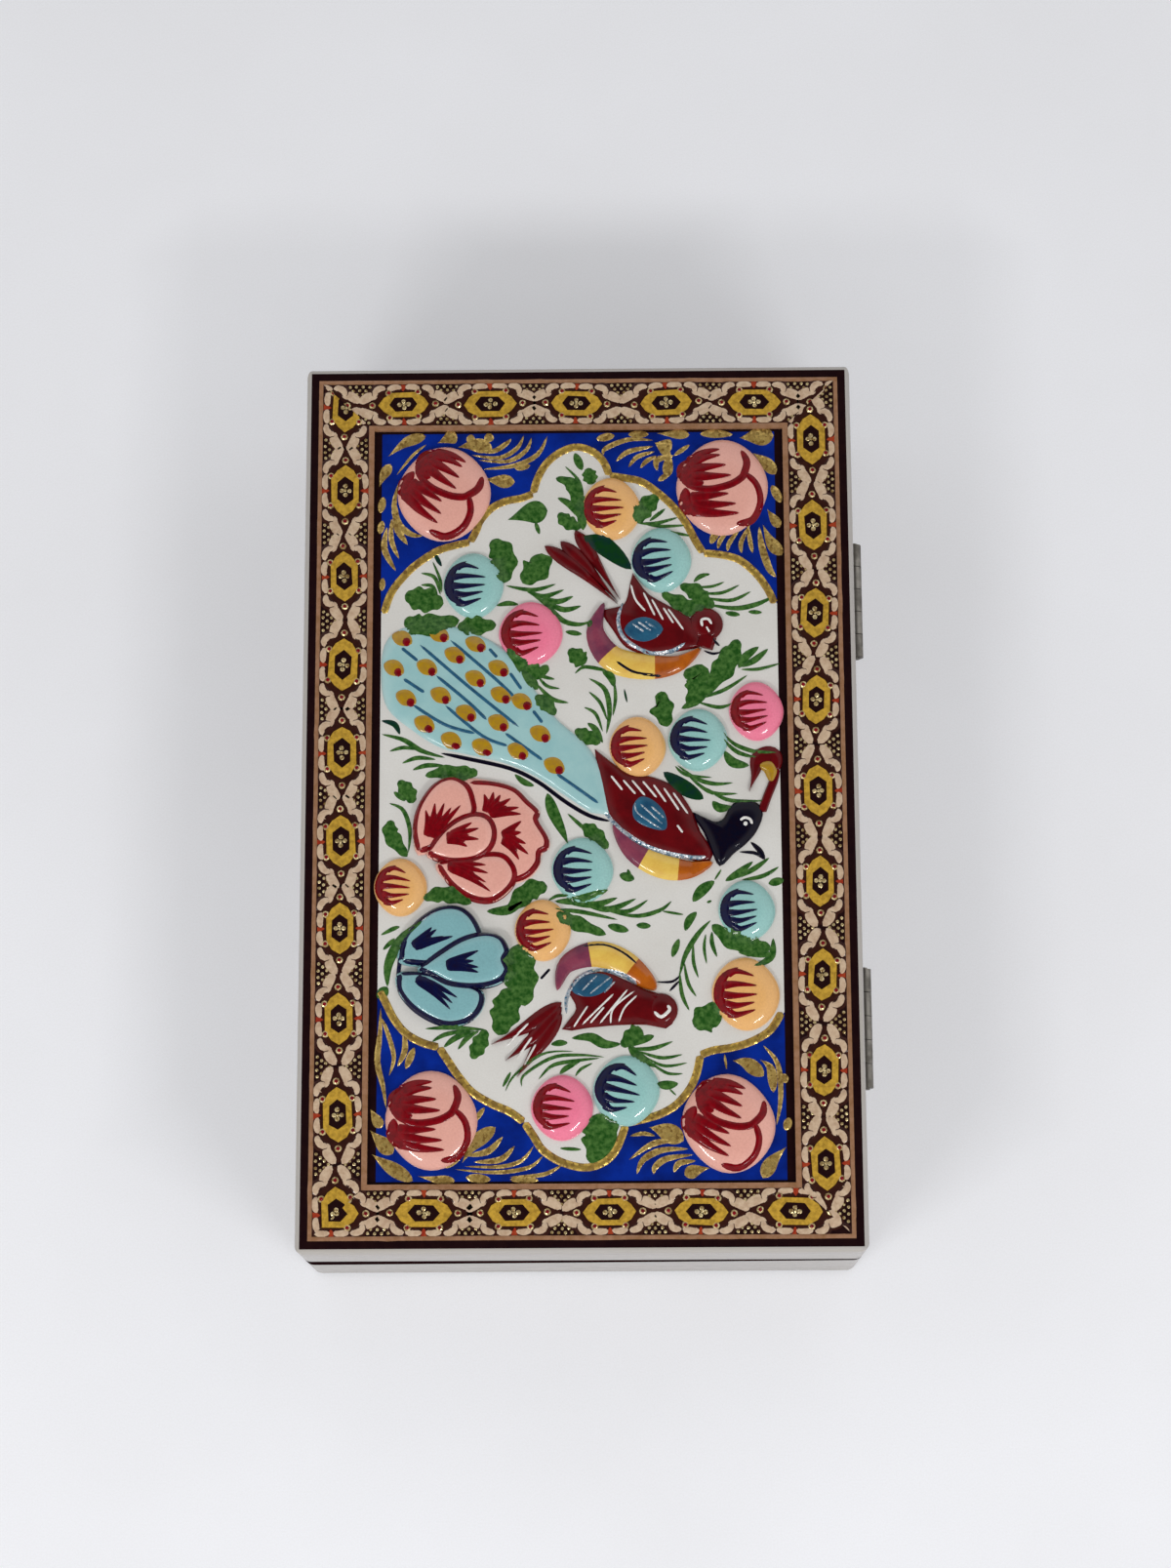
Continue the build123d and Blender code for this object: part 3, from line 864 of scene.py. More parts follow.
def medallion(bm, place, ground, thickness, rng):
    """One medallion of the border: hexagons, a four-lobed flower, ringed eyes and bone petals."""
    size = rng.uniform(0.96, 1.03)
    turn = math.radians(rng.uniform(-3, 3))
    part = bmesh.new()

    def at(a, c):
        a += rng.uniform(-0.13, 0.13)
        c += rng.uniform(-0.1, 0.1)
        return place(size * (a - c * turn), size * (c + a * turn))

    chip(part, at, STAR, STAIN, ground, thickness, 0)
    for c_sign in (-1, 1):
        chip(part, at, [(a, c_sign * c) for a, c in RED_WEDGE], WEDGE, ground, thickness, 1)
        for a_sign in (-1, 1):
            for order, (width, *numbers) in enumerate((AXIS_PETAL, INNER_PETAL, OUTER_PETAL)):
                points = [at(a_sign * a, c_sign * c) for a, c in pairs(numbers)]
                rise = (PETAL_RISE + order) * thickness
                stroke(part, points, width + PETAL_RIM, plump, rise, ground, STAIN, 6, 7)
                stroke(part, points, width, plump, rise + PETAL_STEP * thickness, ground, PETAL, 6, 7)
    chip(part, at, YELLOW_HEXAGON, YELLOW, ground, HEXAGON_RISE * thickness, 0)
    chip(part, at, EBONY_HEXAGON, EBONY, ground, HEXAGON_RISE * thickness, 4)
    for a, c, radius in FLOWER:
        x, y = at(a, c)
        dot(part, x, y, radius, FLOWER_RISE * thickness, ground, BRASS, sides=8, order=8)
    for a, c in EYES:
        x, y = at(a, c)
        dot(part, x, y, RING_RADIUS, RING_RISE * thickness, ground, BRASS, sides=8, order=7)
        dot(part, x, y, PUPIL_RADIUS, PUPIL_RISE * thickness, ground, RED, sides=8, order=8)
    merge(bm, part)


def cut_at(bm, point, normal):
    """Cuts away what lies beyond a plane and closes the cut shapes."""
    everything = bm.verts[:] + bm.edges[:] + bm.faces[:]
    cut = bmesh.ops.bisect_plane(bm, geom=everything, plane_co=point, plane_no=normal, clear_outer=True)
    edges = [item for item in cut["geom_cut"] if isinstance(item, bmesh.types.BMEdge)]
    bmesh.ops.holes_fill(bm, edges=edges, sides=0)


def border_side(name, places, middle, half, other, other_half, out, lengthwise, materials, thickness, rng):
    """The inlay of one side of the border, mitred at both ends."""
    ground = Ground(BORDER_TOP)
    bm = bmesh.new()
    squeeze = half / SIDE_HALF

    def where(a, c):
        across = out * (middle + squeeze * c)
        return (across, a) if lengthwise else (a, across)

    for centre in places:
        medallion(bm, lambda a, c, start=centre: where(start + a, c), ground, thickness, rng)
    for first, second in zip(places, places[1:]):
        part = bmesh.new()
        gap = (first + second) / 2
        for a, c in GAP_DOTS:
            for sign in (-1, 1):
                x, y = where(gap + a + rng.uniform(-0.1, 0.1), sign * c)
                dot(part, x, y, GAP_DOT, 2 * thickness, ground, BRASS, order=4)
        merge(bm, part)
    slope = other_half / half
    for end in (-1, 1):
        corner = (out * middle, end * other, 0) if lengthwise else (end * other, out * middle, 0)
        normal = (-out * slope, end, 0) if lengthwise else (end, -out * slope, 0)
        cut_at(bm, corner, normal)
    for edge in (-1, 1):
        across = out * middle + edge * half
        corner = (across, 0, 0) if lengthwise else (0, across, 0)
        cut_at(bm, corner, (edge, 0, 0) if lengthwise else (0, edge, 0))
    return make_piece(name, bm, materials, "mosaic")


TAN_RINGS = ((56.75, 94.25, 0.85), (45.5, 83.6, 0.9))
TAN_STEP = 4.0
TAN_WANDER = 0.12
TAN_RISE = 0.04


def wavy_stringing(bm, x_reach, y_reach, width, ground, rng):
    """Hand-laid tan stringing: four strips whose width and line wander a little."""
    ends = ((-x_reach, -y_reach), (x_reach, -y_reach), (x_reach, y_reach), (-x_reach, y_reach))
    for k, start in enumerate(ends):
        finish = ends[(k + 1) % len(ends)]
        length = math.dist(start, finish)
        count = int(length / TAN_STEP)
        points = []
        for step in range(count + 1):
            share = step / count
            x = start[0] + (finish[0] - start[0]) * share + rng.uniform(-TAN_WANDER, TAN_WANDER)
            y = start[1] + (finish[1] - start[1]) * share + rng.uniform(-TAN_WANDER, TAN_WANDER)
            points.append((x, y))
        wave = [rng.uniform(0.8, 1.1) for step in range(count + 2)]

        def wavy(t):
            return wave[int(t * count)] * min(1.0, 200 * t, 200 * (1 - t))

        stroke(bm, points, width, wavy, TAN_RISE, ground, rings=2 * count, order=k)


class InlayBorder(bpy.types.Operator):
    """Lays the chips and dots of the border's four sides and its tan stringing"""

    bl_idname = "inlaid_box.inlay_border"
    bl_label = "Inlay the border"
    bl_options = {"REGISTER", "UNDO"}

    def execute(self, context):
        sizes = context.scene.box_sizes
        rng = random.Random(sizes.seed)
        materials = [
            lacquer("Bone petal", "petal", "petal_shade", 900.0, 0.5, 0.14),
            lacquer("Stained bone", "stain", "ebony", 900.0, 0.5, 0.14),
            lacquer("Yellow wood chip", "inlay_yellow", "gold_deep", 1200.0, 0.6, 0.14),
            lacquer("Ebony chip", "ebony", "dark_line", 900.0, 0.6, 0.1),
            lacquer("Red chip", "dark_red", "dark_line", 900.0, 0.5, 0.1),
            gold("Brass wire", "brass", "gold_deep", 2500.0),
            lacquer("Red wedge", "wedge", "dark_red", 900.0, 0.6, 0.12),
        ]
        thickness = sizes.inlay_thickness
        side = (SIDE_CENTRE, SIDE_HALF, END_CENTRE, END_HALF)
        end = (END_CENTRE, END_HALF, SIDE_CENTRE, SIDE_HALF)
        border_side("inlay_front", LEFT_PLACES, *side, -1, True, materials, thickness, rng)
        border_side("inlay_back", RIGHT_PLACES, *side, 1, True, materials, thickness, rng)
        border_side("inlay_far_end", FAR_PLACES, *end, 1, False, materials, thickness, rng)
        border_side("inlay_near_end", NEAR_PLACES, *end, -1, False, materials, thickness, rng)
        bm = bmesh.new()
        for x_reach, y_reach, width in TAN_RINGS:
            wavy_stringing(bm, x_reach, y_reach, width, Ground(BORDER_TOP), rng)
        make_piece("tan_stringing", bm, [tan_wood()], "tan_line")
        return {"FINISHED"}


# Blue fields and gold scrolls

FAR_SCALLOPS = (
    (-43.2, 41.3, -41.0, 46.0, -38.5, 49.5, -35.5, 52.5, -31.0, 55.5, -27.0, 56.8, -23.8, 57.5),
    (-23.8, 57.5, -22.5, 60.0, -21.5, 62.5, -19.0, 65.3, -16.0, 66.8, -12.5, 67.5, -10.0, 68.5),
    (-10.0, 68.5, -9.0, 72.0, -7.0, 75.5, -4.0, 78.0, -0.5, 79.2, 3.0, 78.2, 5.5, 75.8, 6.8, 72.5),
    (6.8, 72.5, 10.0, 72.0, 14.0, 71.0, 18.0, 68.0, 21.0, 65.0, 23.5, 61.5, 25.5, 57.5, 27.2, 54.6),
    (27.2, 54.6, 31.0, 54.2, 35.0, 53.0, 38.5, 50.0, 41.0, 46.5, 43.1, 43.0),
)
NEAR_SCALLOPS = (
    (-43.1, -41.8, -41.3, -44.5, -39.5, -48.0, -37.0, -51.0, -33.5, -53.0, -30.0, -54.0),
    (-30.0, -54.0, -28.0, -57.0, -26.0, -60.0, -23.0, -63.5, -19.0, -66.0, -15.0, -67.8, -12.0, -70.0),
    (-12.0, -70.0, -10.0, -73.0, -8.0, -76.0, -4.0, -78.5, 1.0, -79.6, 5.0, -78.3, 7.5, -75.5, 9.5, -70.3),
    (9.5, -70.3, 13.0, -69.5, 16.5, -68.5, 20.0, -66.5, 23.0, -63.0, 24.5, -59.5, 25.2, -56.0),
    (25.2, -56.0, 28.0, -55.0, 32.0, -54.4, 36.0, -53.2, 40.0, -50.8, 43.1, -46.9),
)
SCALLOP_WIDTH = 1.75
SCALLOP_STEPS = 24
SCROLL_GAIN = 1.3
FIELD_THICKNESS = 0.05
# A row is a stroke: its width, and then the x and y of each point.
GOLD_SCROLLS = (
    (2.0, -42, 77.2, -38, 80.5, -33.6, 82), (1.8, -43.8, 70.3, -42.8, 73, -41.3, 75.5),
    (1.3, -43.5, 64.3, -42.8, 68), (1.2, -43.6, 59.5, -43, 62.5),
    (2.6, -31, 80.3, -28.5, 81.5, -26.8, 82.2), (2.6, -26.5, 79.3, -23, 79.8, -19, 79),
    (1.4, -24, 80, -23.5, 82.3), (1.6, -21, 80, -19, 82.3),
    (0.9, -24, 78.8, -19, 78.3, -16, 80, -14.8, 81.2), (0.8, -23.5, 77.5, -17.5, 76.8, -13.5, 79, -12, 82),
    (0.8, -22, 76.3, -15.5, 76, -11.5, 78.5, -10.3, 81.5), (0.9, -21, 74.2, -14, 75, -9, 77.5, -6.8, 81.8),
    (2.4, -20.5, 72, -17.5, 71.5, -14, 71.2), (1.2, -14, 74.3, -10.6, 75),
    (1.2, -39.6, 71, -40.5, 66, -39.3, 61.5, -36.5, 59.3, -34.2, 59), (1.3, -40, 66, -39.8, 61, -37.5, 57),
    (0.9, -41, 63, -41, 58, -39.3, 53.8), (1.1, -42, 61, -42.5, 56, -40, 51), (1.0, -43, 46.5, -42.8, 49.5),
    (0.5, -40, 73, -36.5, 77.5, -33.5, 80), (1.4, 4, 81, 8, 81.8), (1.3, 11, 82, 15.5, 82),
    (1.7, 17.3, 82.2, 21, 82, 24.5, 81.8), (1.5, 26.8, 82, 30, 82, 34, 81.8),
    (3.4, 35.5, 81, 39, 81.3, 43, 81.5), (2.2, 38.3, 77.5, 41, 75.5, 43.3, 72.5), (1.5, 42.4, 70, 44.4, 66),
    (1.7, 41.3, 64.5, 44, 60.3), (3.0, 16.8, 80, 20.5, 78.5), (1.8, 20, 79, 19.5, 72),
    (1.1, 21, 77, 17.3, 76, 17.3, 73.6), (0.8, 24.5, 79.5, 21, 77), (1.0, 20, 73, 17.5, 71.2),
    (0.9, 16.5, 80.6, 11, 80.8, 6, 78.8, 5.5, 77.3), (0.9, 16.5, 79.2, 11, 78, 8.3, 75.8),
    (0.8, 16.8, 78, 13, 76.8, 11, 74.4), (0.8, 17.2, 77, 15, 75.8, 13.6, 74.2),
    (2.2, 40.3, 61, 42, 57, 44.5, 54), (1.3, 39.5, 60.5, 40, 56, 41.5, 51, 43, 49),
    (0.8, 37.5, 61, 35.5, 57, 35.6, 54.5), (0.8, 35.5, 60.5, 33, 57, 32.5, 55),
    (0.8, 33, 60, 31, 57.5, 30.4, 55.5), (0.8, 37, 61, 37.5, 57, 38, 54.5), (1.3, 30.5, 60, 28.8, 56.7),
    (1.4, 24.2, 70.5, 24, 66, 28.5, 60), (2.6, -44.7, -71.5, -42, -74, -39.6, -76.5),
    (2.3, -44, -76.5, -40.5, -79, -35.3, -82.2), (1.6, -34.3, -81.2, -30, -82, -26.5, -82.2),
    (1.5, -24.2, -81.5, -19, -82), (1.2, -15, -82, -9, -82.2),
    (1.0, -41, -67, -41.8, -62, -43, -57, -42.5, -51, -42.4, -45.5),
    (0.8, -40.5, -60, -39.5, -56, -41, -50.5, -42.3, -47.5), (1.0, -38.7, -58, -37.2, -54.5, -37.5, -50),
    (1.2, -37, -58.5, -35.2, -54), (1.8, -44.5, -67, -42, -71), (2.4, -25, -78.5, -22.5, -74.5, -18, -71),
    (0.9, -22.7, -70, -20.3, -66.8), (1.1, -24, -77, -19.5, -76, -16.5, -73),
    (1.0, -22.5, -78.3, -17, -77.8, -14, -75), (0.7, -24.5, -79.2, -17, -79.3, -12.5, -78, -10, -75),
    (0.7, -26.5, -79.8, -18, -80.5, -11, -79.5, -8, -77), (0.7, -15, -81.5, -8, -81, -4, -79),
    (1.2, -28.5, -79.5, -25, -76.5), (2.4, 32, -57.2, 35, -57.8, 38.5, -60.5),
    (1.6, 37.8, -57, 40, -59, 40.5, -64), (0.9, 38.5, -54, 41.5, -58, 42, -65, 41, -71),
    (0.4, 30.3, -55.8, 30.7, -59), (1.3, 42.5, -60, 43.2, -62), (1.4, 43.8, -69.3, 42.9, -72),
    (2.4, 43, -75.5, 40, -78.5, 38, -82), (3.2, 14.3, -71.2, 17.5, -72, 21.5, -74),
    (1.0, 21.5, -74.2, 17, -74.2, 14, -75.2, 10, -78), (1.1, 22.5, -75.8, 17, -76, 13, -78, 11.6, -81),
    (1.1, 23.5, -77, 18, -77.8, 15.5, -79.5, 15.2, -81), (1.0, 24, -78.3, 20.5, -78.8, 19.4, -80.7),
    (2.2, 27, -79.8, 24, -80.3, 21.6, -81.3), (0.7, 10.3, -73, 13, -72.5, 15.5, -73),
)
GOLD_LIMIT_X = 44.4
GOLD_LIMIT_Y = 82.7
SCALLOP_LIMIT_X = 42.6
SCROLL_RISE = 0.12
CURLED_WIDTH = 1.5


def held(value, limit):
    """A value held between the limit and its opposite."""
    return min(max(value, -limit), limit)


def blue_field(bm, scallops, end):
    """A thin field of blue paint between the scalloped line and the end of the panel."""
    rim = []
    for numbers in scallops:
        points = pairs(numbers)
        rim += [along(points, step / SCALLOP_STEPS)[0] for step in range(SCALLOP_STEPS)]
    rim.append(Vector(pairs(scallops[-1])[-1]))
    columns = len(rim) - 1
    grid = bmesh.ops.create_grid(bm, x_segments=columns, y_segments=1, size=1.0)["verts"]
    for vert in grid:
        place = rim[round((vert.co.x + 1) / 2 * columns)]
        vert.co = (place.x, place.y if vert.co.y < 0 else end, PANEL_TOP - SINK)
    grown = bmesh.ops.extrude_face_region(bm, geom=bm.faces[:])
    top = [item for item in grown["geom"] if isinstance(item, bmesh.types.BMVert)]
    bmesh.ops.translate(bm, vec=(0, 0, SINK + FIELD_THICKNESS), verts=top)


class PaintFields(bpy.types.Operator):
    """Lays the blue fields, the raised gold line round them and their gold scrolls"""

    bl_idname = "inlaid_box.paint_fields"
    bl_label = "Paint blue fields and gold"
    bl_options = {"REGISTER", "UNDO"}

    def execute(self, context):
        sizes = context.scene.box_sizes
        blue = lacquer("Cobalt lacquer", "cobalt", "cobalt_deep", 130.0, 0.75, 0.06)
        powder = gold("Gold powder")
        line_gold = gold("Gold line", "gold", "gold_deep", 1500.0)
        for name, scallops, sign in (("far", FAR_SCALLOPS, 1), ("near", NEAR_SCALLOPS, -1)):
            bm = bmesh.new()
            blue_field(bm, scallops, sign * PANEL_HALF_LENGTH)
            make_piece(f"blue_field_{name}", bm, [blue], "panel_ivory")
        bm = bmesh.new()
        ground = Ground(PANEL_TOP)
        for order, numbers in enumerate(FAR_SCALLOPS + NEAR_SCALLOPS):
            points = [(held(x, SCALLOP_LIMIT_X), y) for x, y in pairs(numbers)]
            stroke(bm, points, SCALLOP_WIDTH, even, sizes.gold_thickness, ground, 0, 8, 34, order)
        make_piece("gold_scalloped_line", bm, [line_gold], "panel_ivory")
        bm = bmesh.new()
        ground = Ground(PANEL_TOP + FIELD_THICKNESS)
        for order, (width, *numbers) in enumerate(GOLD_SCROLLS):
            points = [(held(x, GOLD_LIMIT_X), held(y, GOLD_LIMIT_Y)) for x, y in pairs(numbers)]
            shape = comma if width > CURLED_WIDTH else leaf
            stroke(bm, points, SCROLL_GAIN * width, shape, SCROLL_RISE, ground, rings=12, order=order)
        make_piece("gold_scrolls", bm, [powder], "panel_ivory")
        return {"FINISHED"}


# Buds

# A bud's row is its x, y, radius and turn in degrees.
CORNER_BUDS = (
    (-29.5, 68.5, 9.8, -34), (31.5, 69.5, 9.8, 5), (-31.5, -69.5, 9.4, 0), (31.0, -70.5, 9.4, -25),
)
BLUE_BUDS = (
    (-23, 47.5, 6.5, 0), (18, 53, 6.5, 8), (25.5, 12.5, 6.2, -5), (0.5, -16, 6.4, 0), (35.5, -25, 5.9, 5),
    (9.5, -63.5, 6.8, -15),
)
ORANGE_BUDS = (
    (7.2, 64.8, 6.3, 0), (12.5, 11, 6.0, 5), (-38.4, -19.5, 5.6, -5), (-8, -29, 5.9, 4), (35, -43, 7.0, 0),
)
PINK_BUDS = ((-10.5, 36.5, 6.6, 0), (38.2, 18.8, 5.8, 5), (-4, -67, 6.3, -5))
BUD_SHRINK = 0.985
CORNER_MARK_SHRINK = 0.92
CLAW_RISE = 1.8
# Claws, in a bud's own frame, where its radius is 1
CLAW_CRESCENT = ((-0.22, 0.78), (-0.66, 0.5), (-0.82, 0.0), (-0.68, -0.45), (-0.3, -0.78))
CRESCENT_WIDTH = 0.34
SPIKE_WIDTH = 0.3
CORNER_HALF_WIDTH = 0.36
CLAW_ROWS = (0.62, 0.25, -0.08, -0.38, -0.66)
CORNER_UPPER = (-0.59, 0.81, -0.9, 0.55, -0.7, 0.13, -0.44, 0.08)
CORNER_LOWER = (-0.9, 0.03, -0.9, -0.4, -0.6, -0.6)
CORNER_UPPER_TIPS = ((0.03, 0.92), (0.03, 0.76), (0.14, 0.48), (0.24, 0.2))
CORNER_LOWER_TIPS = ((0.13, -0.26), (0.29, -0.52), (0.34, -0.75))
CORNER_DIVIDE = (-0.9, 0.08, -0.39, -0.1, 0.13, -0.05, 0.45, 0.1, 0.57, 0.26, 0.65, 0.55, 0.55, 0.86)
CORNER_RIGHT = (0.57, 0.24, 0.83, -0.07, 0.88, -0.5, 0.65, -0.9, 0.24, -1.0)


def turned(x, y, radius, degrees):
    """A function from a bud's own unit frame to the lid."""
    angle = math.radians(degrees)

    def at(u, v):
        return (
            x + radius * (u * math.cos(angle) - v * math.sin(angle)),
            y + radius * (u * math.sin(angle) + v * math.cos(angle)),
        )

    return at


def small_claws(bm, bud, ground, thickness, rng):
    """The curved stroke and five spikes that a small bud carries."""
    x, y, radius, degrees = bud
    at = turned(x, y, radius, degrees)
    rise = CLAW_RISE * thickness
    crescent = [at(*point) for point in CLAW_CRESCENT]
    stroke(bm, crescent, CRESCENT_WIDTH * radius, leaf, rise, ground, 1, 10, 18, 1)
    for order, row in enumerate(CLAW_ROWS):
        start = at(-0.74 + 0.45 * row * row, 0.9 * row)
        middle = at(-0.28, 1.04 * row + rng.uniform(-0.03, 0.03))
        tip = at(0.42 - 0.25 * abs(row) + rng.uniform(-0.08, 0.08), 0.8 * row)
        stroke(bm, [start, middle, tip], SPIKE_WIDTH * radius, brush, rise, ground, 1, 8, 14, order)


def corner_claws(bm, bud, ground, thickness):
    """The two curled halves that a large corner bud carries."""
    x, y, radius, degrees = bud
    at = turned(x, y, CORNER_MARK_SHRINK * radius, degrees)
    rise = CLAW_RISE * thickness
    for numbers in (CORNER_UPPER, CORNER_LOWER):
        points = [at(*point) for point in pairs(numbers)]
        stroke(bm, points, CORNER_HALF_WIDTH * radius, leaf, rise, ground, 1, 10, 20)
    for tips, root in ((CORNER_UPPER_TIPS, (-0.78, 0.45)), (CORNER_LOWER_TIPS, (-0.84, -0.25))):
        for order, tip in enumerate(tips):
            start = (root[0], root[1] + 0.55 * (tip[1] - root[1]))
            bend = ((root[0] + tip[0]) / 2, 0.2 * start[1] + 0.8 * tip[1])
            points = [at(*start), at(*bend), at(*tip)]
            stroke(bm, points, SPIKE_WIDTH * radius, brush, rise, ground, 1, 10, 16, order)
    for numbers, width in ((CORNER_DIVIDE, 0.17), (CORNER_RIGHT, 0.15)):
        points = [at(u, v) for u, v in pairs(numbers)]
        stroke(bm, points, width * radius, line, rise, ground, 1, 8, 28, 3)


def round_reach(radius, rng):
    """The reach of a hand-shaped round bud."""
    lobe = rng.uniform(0.01, 0.03)
    start = rng.uniform(0, 6)

    def reach(angle):
        tall = 1.03 + 0.09 * math.sin(angle) ** 2
        return radius * (tall + lobe * math.cos(2 * angle + start) + 0.02 * math.cos(4 * angle))

    return reach


class ShapeBuds(bpy.types.Operator):
    """Shapes the domed buds and paints the claws on them"""

    bl_idname = "inlaid_box.shape_buds"
    bl_label = "Shape the buds"
    bl_options = {"REGISTER", "UNDO"}

    def execute(self, context):
        sizes = context.scene.box_sizes
        rng = random.Random(sizes.seed + 1)
        rows = (
            ("painted_corner_buds", CORNER_BUDS, sizes.corner_height, "corner_bud", "dark_red", "bud_corner",
             "corner_buds"),
            ("painted_blue_buds", BLUE_BUDS, sizes.bud_height, "blue_bud", "navy", "bud_blue", "blue_buds"),
            ("painted_orange_buds", ORANGE_BUDS, sizes.bud_height, "orange_bud", "dark_red", "bud_orange",
             "orange_buds"),
            ("painted_pink_buds", PINK_BUDS, sizes.bud_height, "pink", "dark_red", "bud_pink", "pink_buds"),
        )
        for name, buds, height, petal, mark, slot, node in rows:
            bm = bmesh.new()
            for x, y, radius, degrees in buds:
                relief(bm, (x, y), round_reach(BUD_SHRINK * radius, rng), height)
            ground = Ground(PANEL_TOP).take(bm)
            for bud in buds:
                if node == "corner_buds":
                    corner_claws(bm, bud, ground, sizes.line_thickness)
                else:
                    small_claws(bm, bud, ground, sizes.line_thickness, rng)
            body = lacquer(f"Bud paint, {petal}", petal, mark, 150.0, 0.05, 0.06, 0.05, [pale_foot(0.6, 0.2)])
            marks = line_paint(f"Line paint, {mark}", mark)
            make_piece(name, bm, [body, marks], slot, "lid", (node,))
        return {"FINISHED"}


# Roses

# A petal's row is its height, its middle and its outline. A fan of hairs is its root and its tips.
RED_PETALS = (
    (1.9, -17, -8, (-25, 4, -19, 3.8, -14, 2.3, -11, -0.6, -8.6, -3, -8.9, -5, -6.6, -9, -6.6, -11.3,
                    -8.2, -12.4, -8.6, -15, -11, -17.8, -15, -19, -20, -18, -26, -10, -27, -2)),
    (2.25, -29.5, -3.5, (-34.8, -12.5, -35.8, -7.5, -34.8, -2, -31.5, 3, -27.5, 4.8, -24, 3, -22.5, -0.5,
                        -22.5, -4, -27, -7, -31, -11)),
    (2.55, -21.5, -17.5, (-31, -14.5, -28, -19, -23.5, -22.3, -19, -23, -15.5, -21, -13.5, -18, -14, -15,
                         -17, -12.5, -24, -13)),
    (3.1, -24.5, -9.5, (-33, -12.3, -30, -8, -26, -4.8, -22, -3.6, -19, -4.8, -17.8, -8, -18.8, -11.5,
                        -22, -13.9, -27, -14.5, -31, -13.7)),
)
RED_HAIRS = (
    ((-32.5, -9.5), ((-33, -3), (-31, -1.5), (-29, -1.5), (-27.5, -2.5), (-25.5, -2))),
    ((-20, -4), ((-20.5, 0.5), (-18.5, 1), (-17, 0.3), (-14.8, -0.5), (-13, -2.5), (-12.5, -4))),
    ((-17, -9), ((-12.5, -5.5), (-12.5, -8), (-11.5, -10.5), (-11, -12.8), (-13, -14))),
    ((-29, -15), ((-20, -15.2), (-19.5, -17), (-20, -19), (-19, -21))),
    ((-29, -9.5), ((-23, -6), (-21.5, -7.3), (-21.5, -9.7), (-24, -11.3))),
)
BLUE_PETALS = (
    (2.0, -29.5, -30.5, (-38.5, -36, -38, -31, -34.5, -26.5, -30, -23.8, -25.5, -23.8, -22.3, -26.5,
                         -20.8, -31, -24, -34, -31, -36.5)),
    (2.4, -30, -43.5, (-38.8, -38, -38.8, -42, -35, -46.5, -29, -49.5, -24, -49, -20.8, -46, -20.8, -42,
                       -27, -40, -33, -38)),
    (3.0, -24, -36, (-35, -37.5, -30, -33.8, -25, -30.8, -20, -29.5, -16.5, -30.5, -15, -33.5, -15.8, -35.5,
                     -15, -38, -17, -40.5, -22, -41.6, -28, -41, -32, -39)),
)
BLUE_HAIRS = (
    ((-29, -37), ((-21.5, -33.8), (-22.5, -36), (-21.5, -37.4), (-21.5, -38.5))),
    ((-36, -33), ((-31.5, -28.5), (-30.5, -29), (-29, -30.5), (-27, -30.5))),
    ((-35.5, -39), ((-26, -43.8), (-27, -45), (-27.5, -46.3))),
)
BLUE_ARC = (0.9, -37, -31, -38.5, -36, -38.7, -41)
HAIR_WIDTH = 2.1
HAIR_BEND = Vector((0.25, 0.2))
SHORT_HAIR = 0.72
PETAL_LINE = 1.15
LINE_INSET = 0.93


def rose(name, petals, hairs, arcs, materials, slot, node, thickness):
    """A rose of overlapping raised petals, each with a painted edge and a fan of hairs."""
    bm = bmesh.new()
    below = Ground(PANEL_TOP)
    for height, x, y, numbers in petals:
        petal = bmesh.new()
        relief(petal, (x, y), outline(pairs(numbers), (x, y)), height, 0, 6.0, 60, 24)
        below.take(petal)
        loop = [(x + LINE_INSET * (px - x), y + LINE_INSET * (py - y)) for px, py in pairs(numbers)]
        loop.append(loop[0])
        stroke(petal, loop, PETAL_LINE, even, 2 * thickness, below, 1, 10, 5 * len(loop))
        merge(bm, petal)
    ground = Ground(PANEL_TOP).take(bm)
    for base, tips in hairs:
        between = [(Vector(a) + Vector(b)) / 2 for a, b in zip(tips, tips[1:])]
        fan = [(tip, 1.0) for tip in tips] + [(tip, SHORT_HAIR) for tip in between]
        for order, (tip, reach) in enumerate(fan):
            end = Vector(base).lerp(Vector(tip), reach)
            start = Vector(base).lerp(end, 0.1)
            bend = Vector(base).lerp(end, 0.55) + HAIR_BEND
            stroke(bm, [start, bend, end], HAIR_WIDTH, brush, thickness, ground, 1, rings=12, order=order)
    paint(bm, arcs, line, thickness, ground, 1, 12)
    return make_piece(name, bm, materials, slot, "lid", (node,))


class ShapeRoses(bpy.types.Operator):
    """Shapes the two roses, petal over petal, and paints their lines"""

    bl_idname = "inlaid_box.shape_roses"
    bl_label = "Shape the roses"
    bl_options = {"REGISTER", "UNDO"}

    def execute(self, context):
        thickness = context.scene.box_sizes.line_thickness
        rim = pale_foot(0.8, 0.25)
        red = lacquer("Red rose petal", "red_rose", "dark_red", 150.0, 0.06, 0.06, 0.05, [rim])
        blue = lacquer("Blue rose petal", "blue_rose", "navy", 150.0, 0.06, 0.06, 0.05, [rim])
        red_line = line_paint("Dark red line", "dark_red")
        navy_line = line_paint("Navy line", "navy")
        paints = [red, red_line]
        rose("painted_red_rose", RED_PETALS, RED_HAIRS, (), paints, "rose_red", "red_rose", thickness)
        paints = [blue, navy_line]
        arcs = (BLUE_ARC,)
        rose("painted_blue_rose", BLUE_PETALS, BLUE_HAIRS, arcs, paints, "rose_blue", "blue_rose", thickness)
        return {"FINISHED"}


# Birds

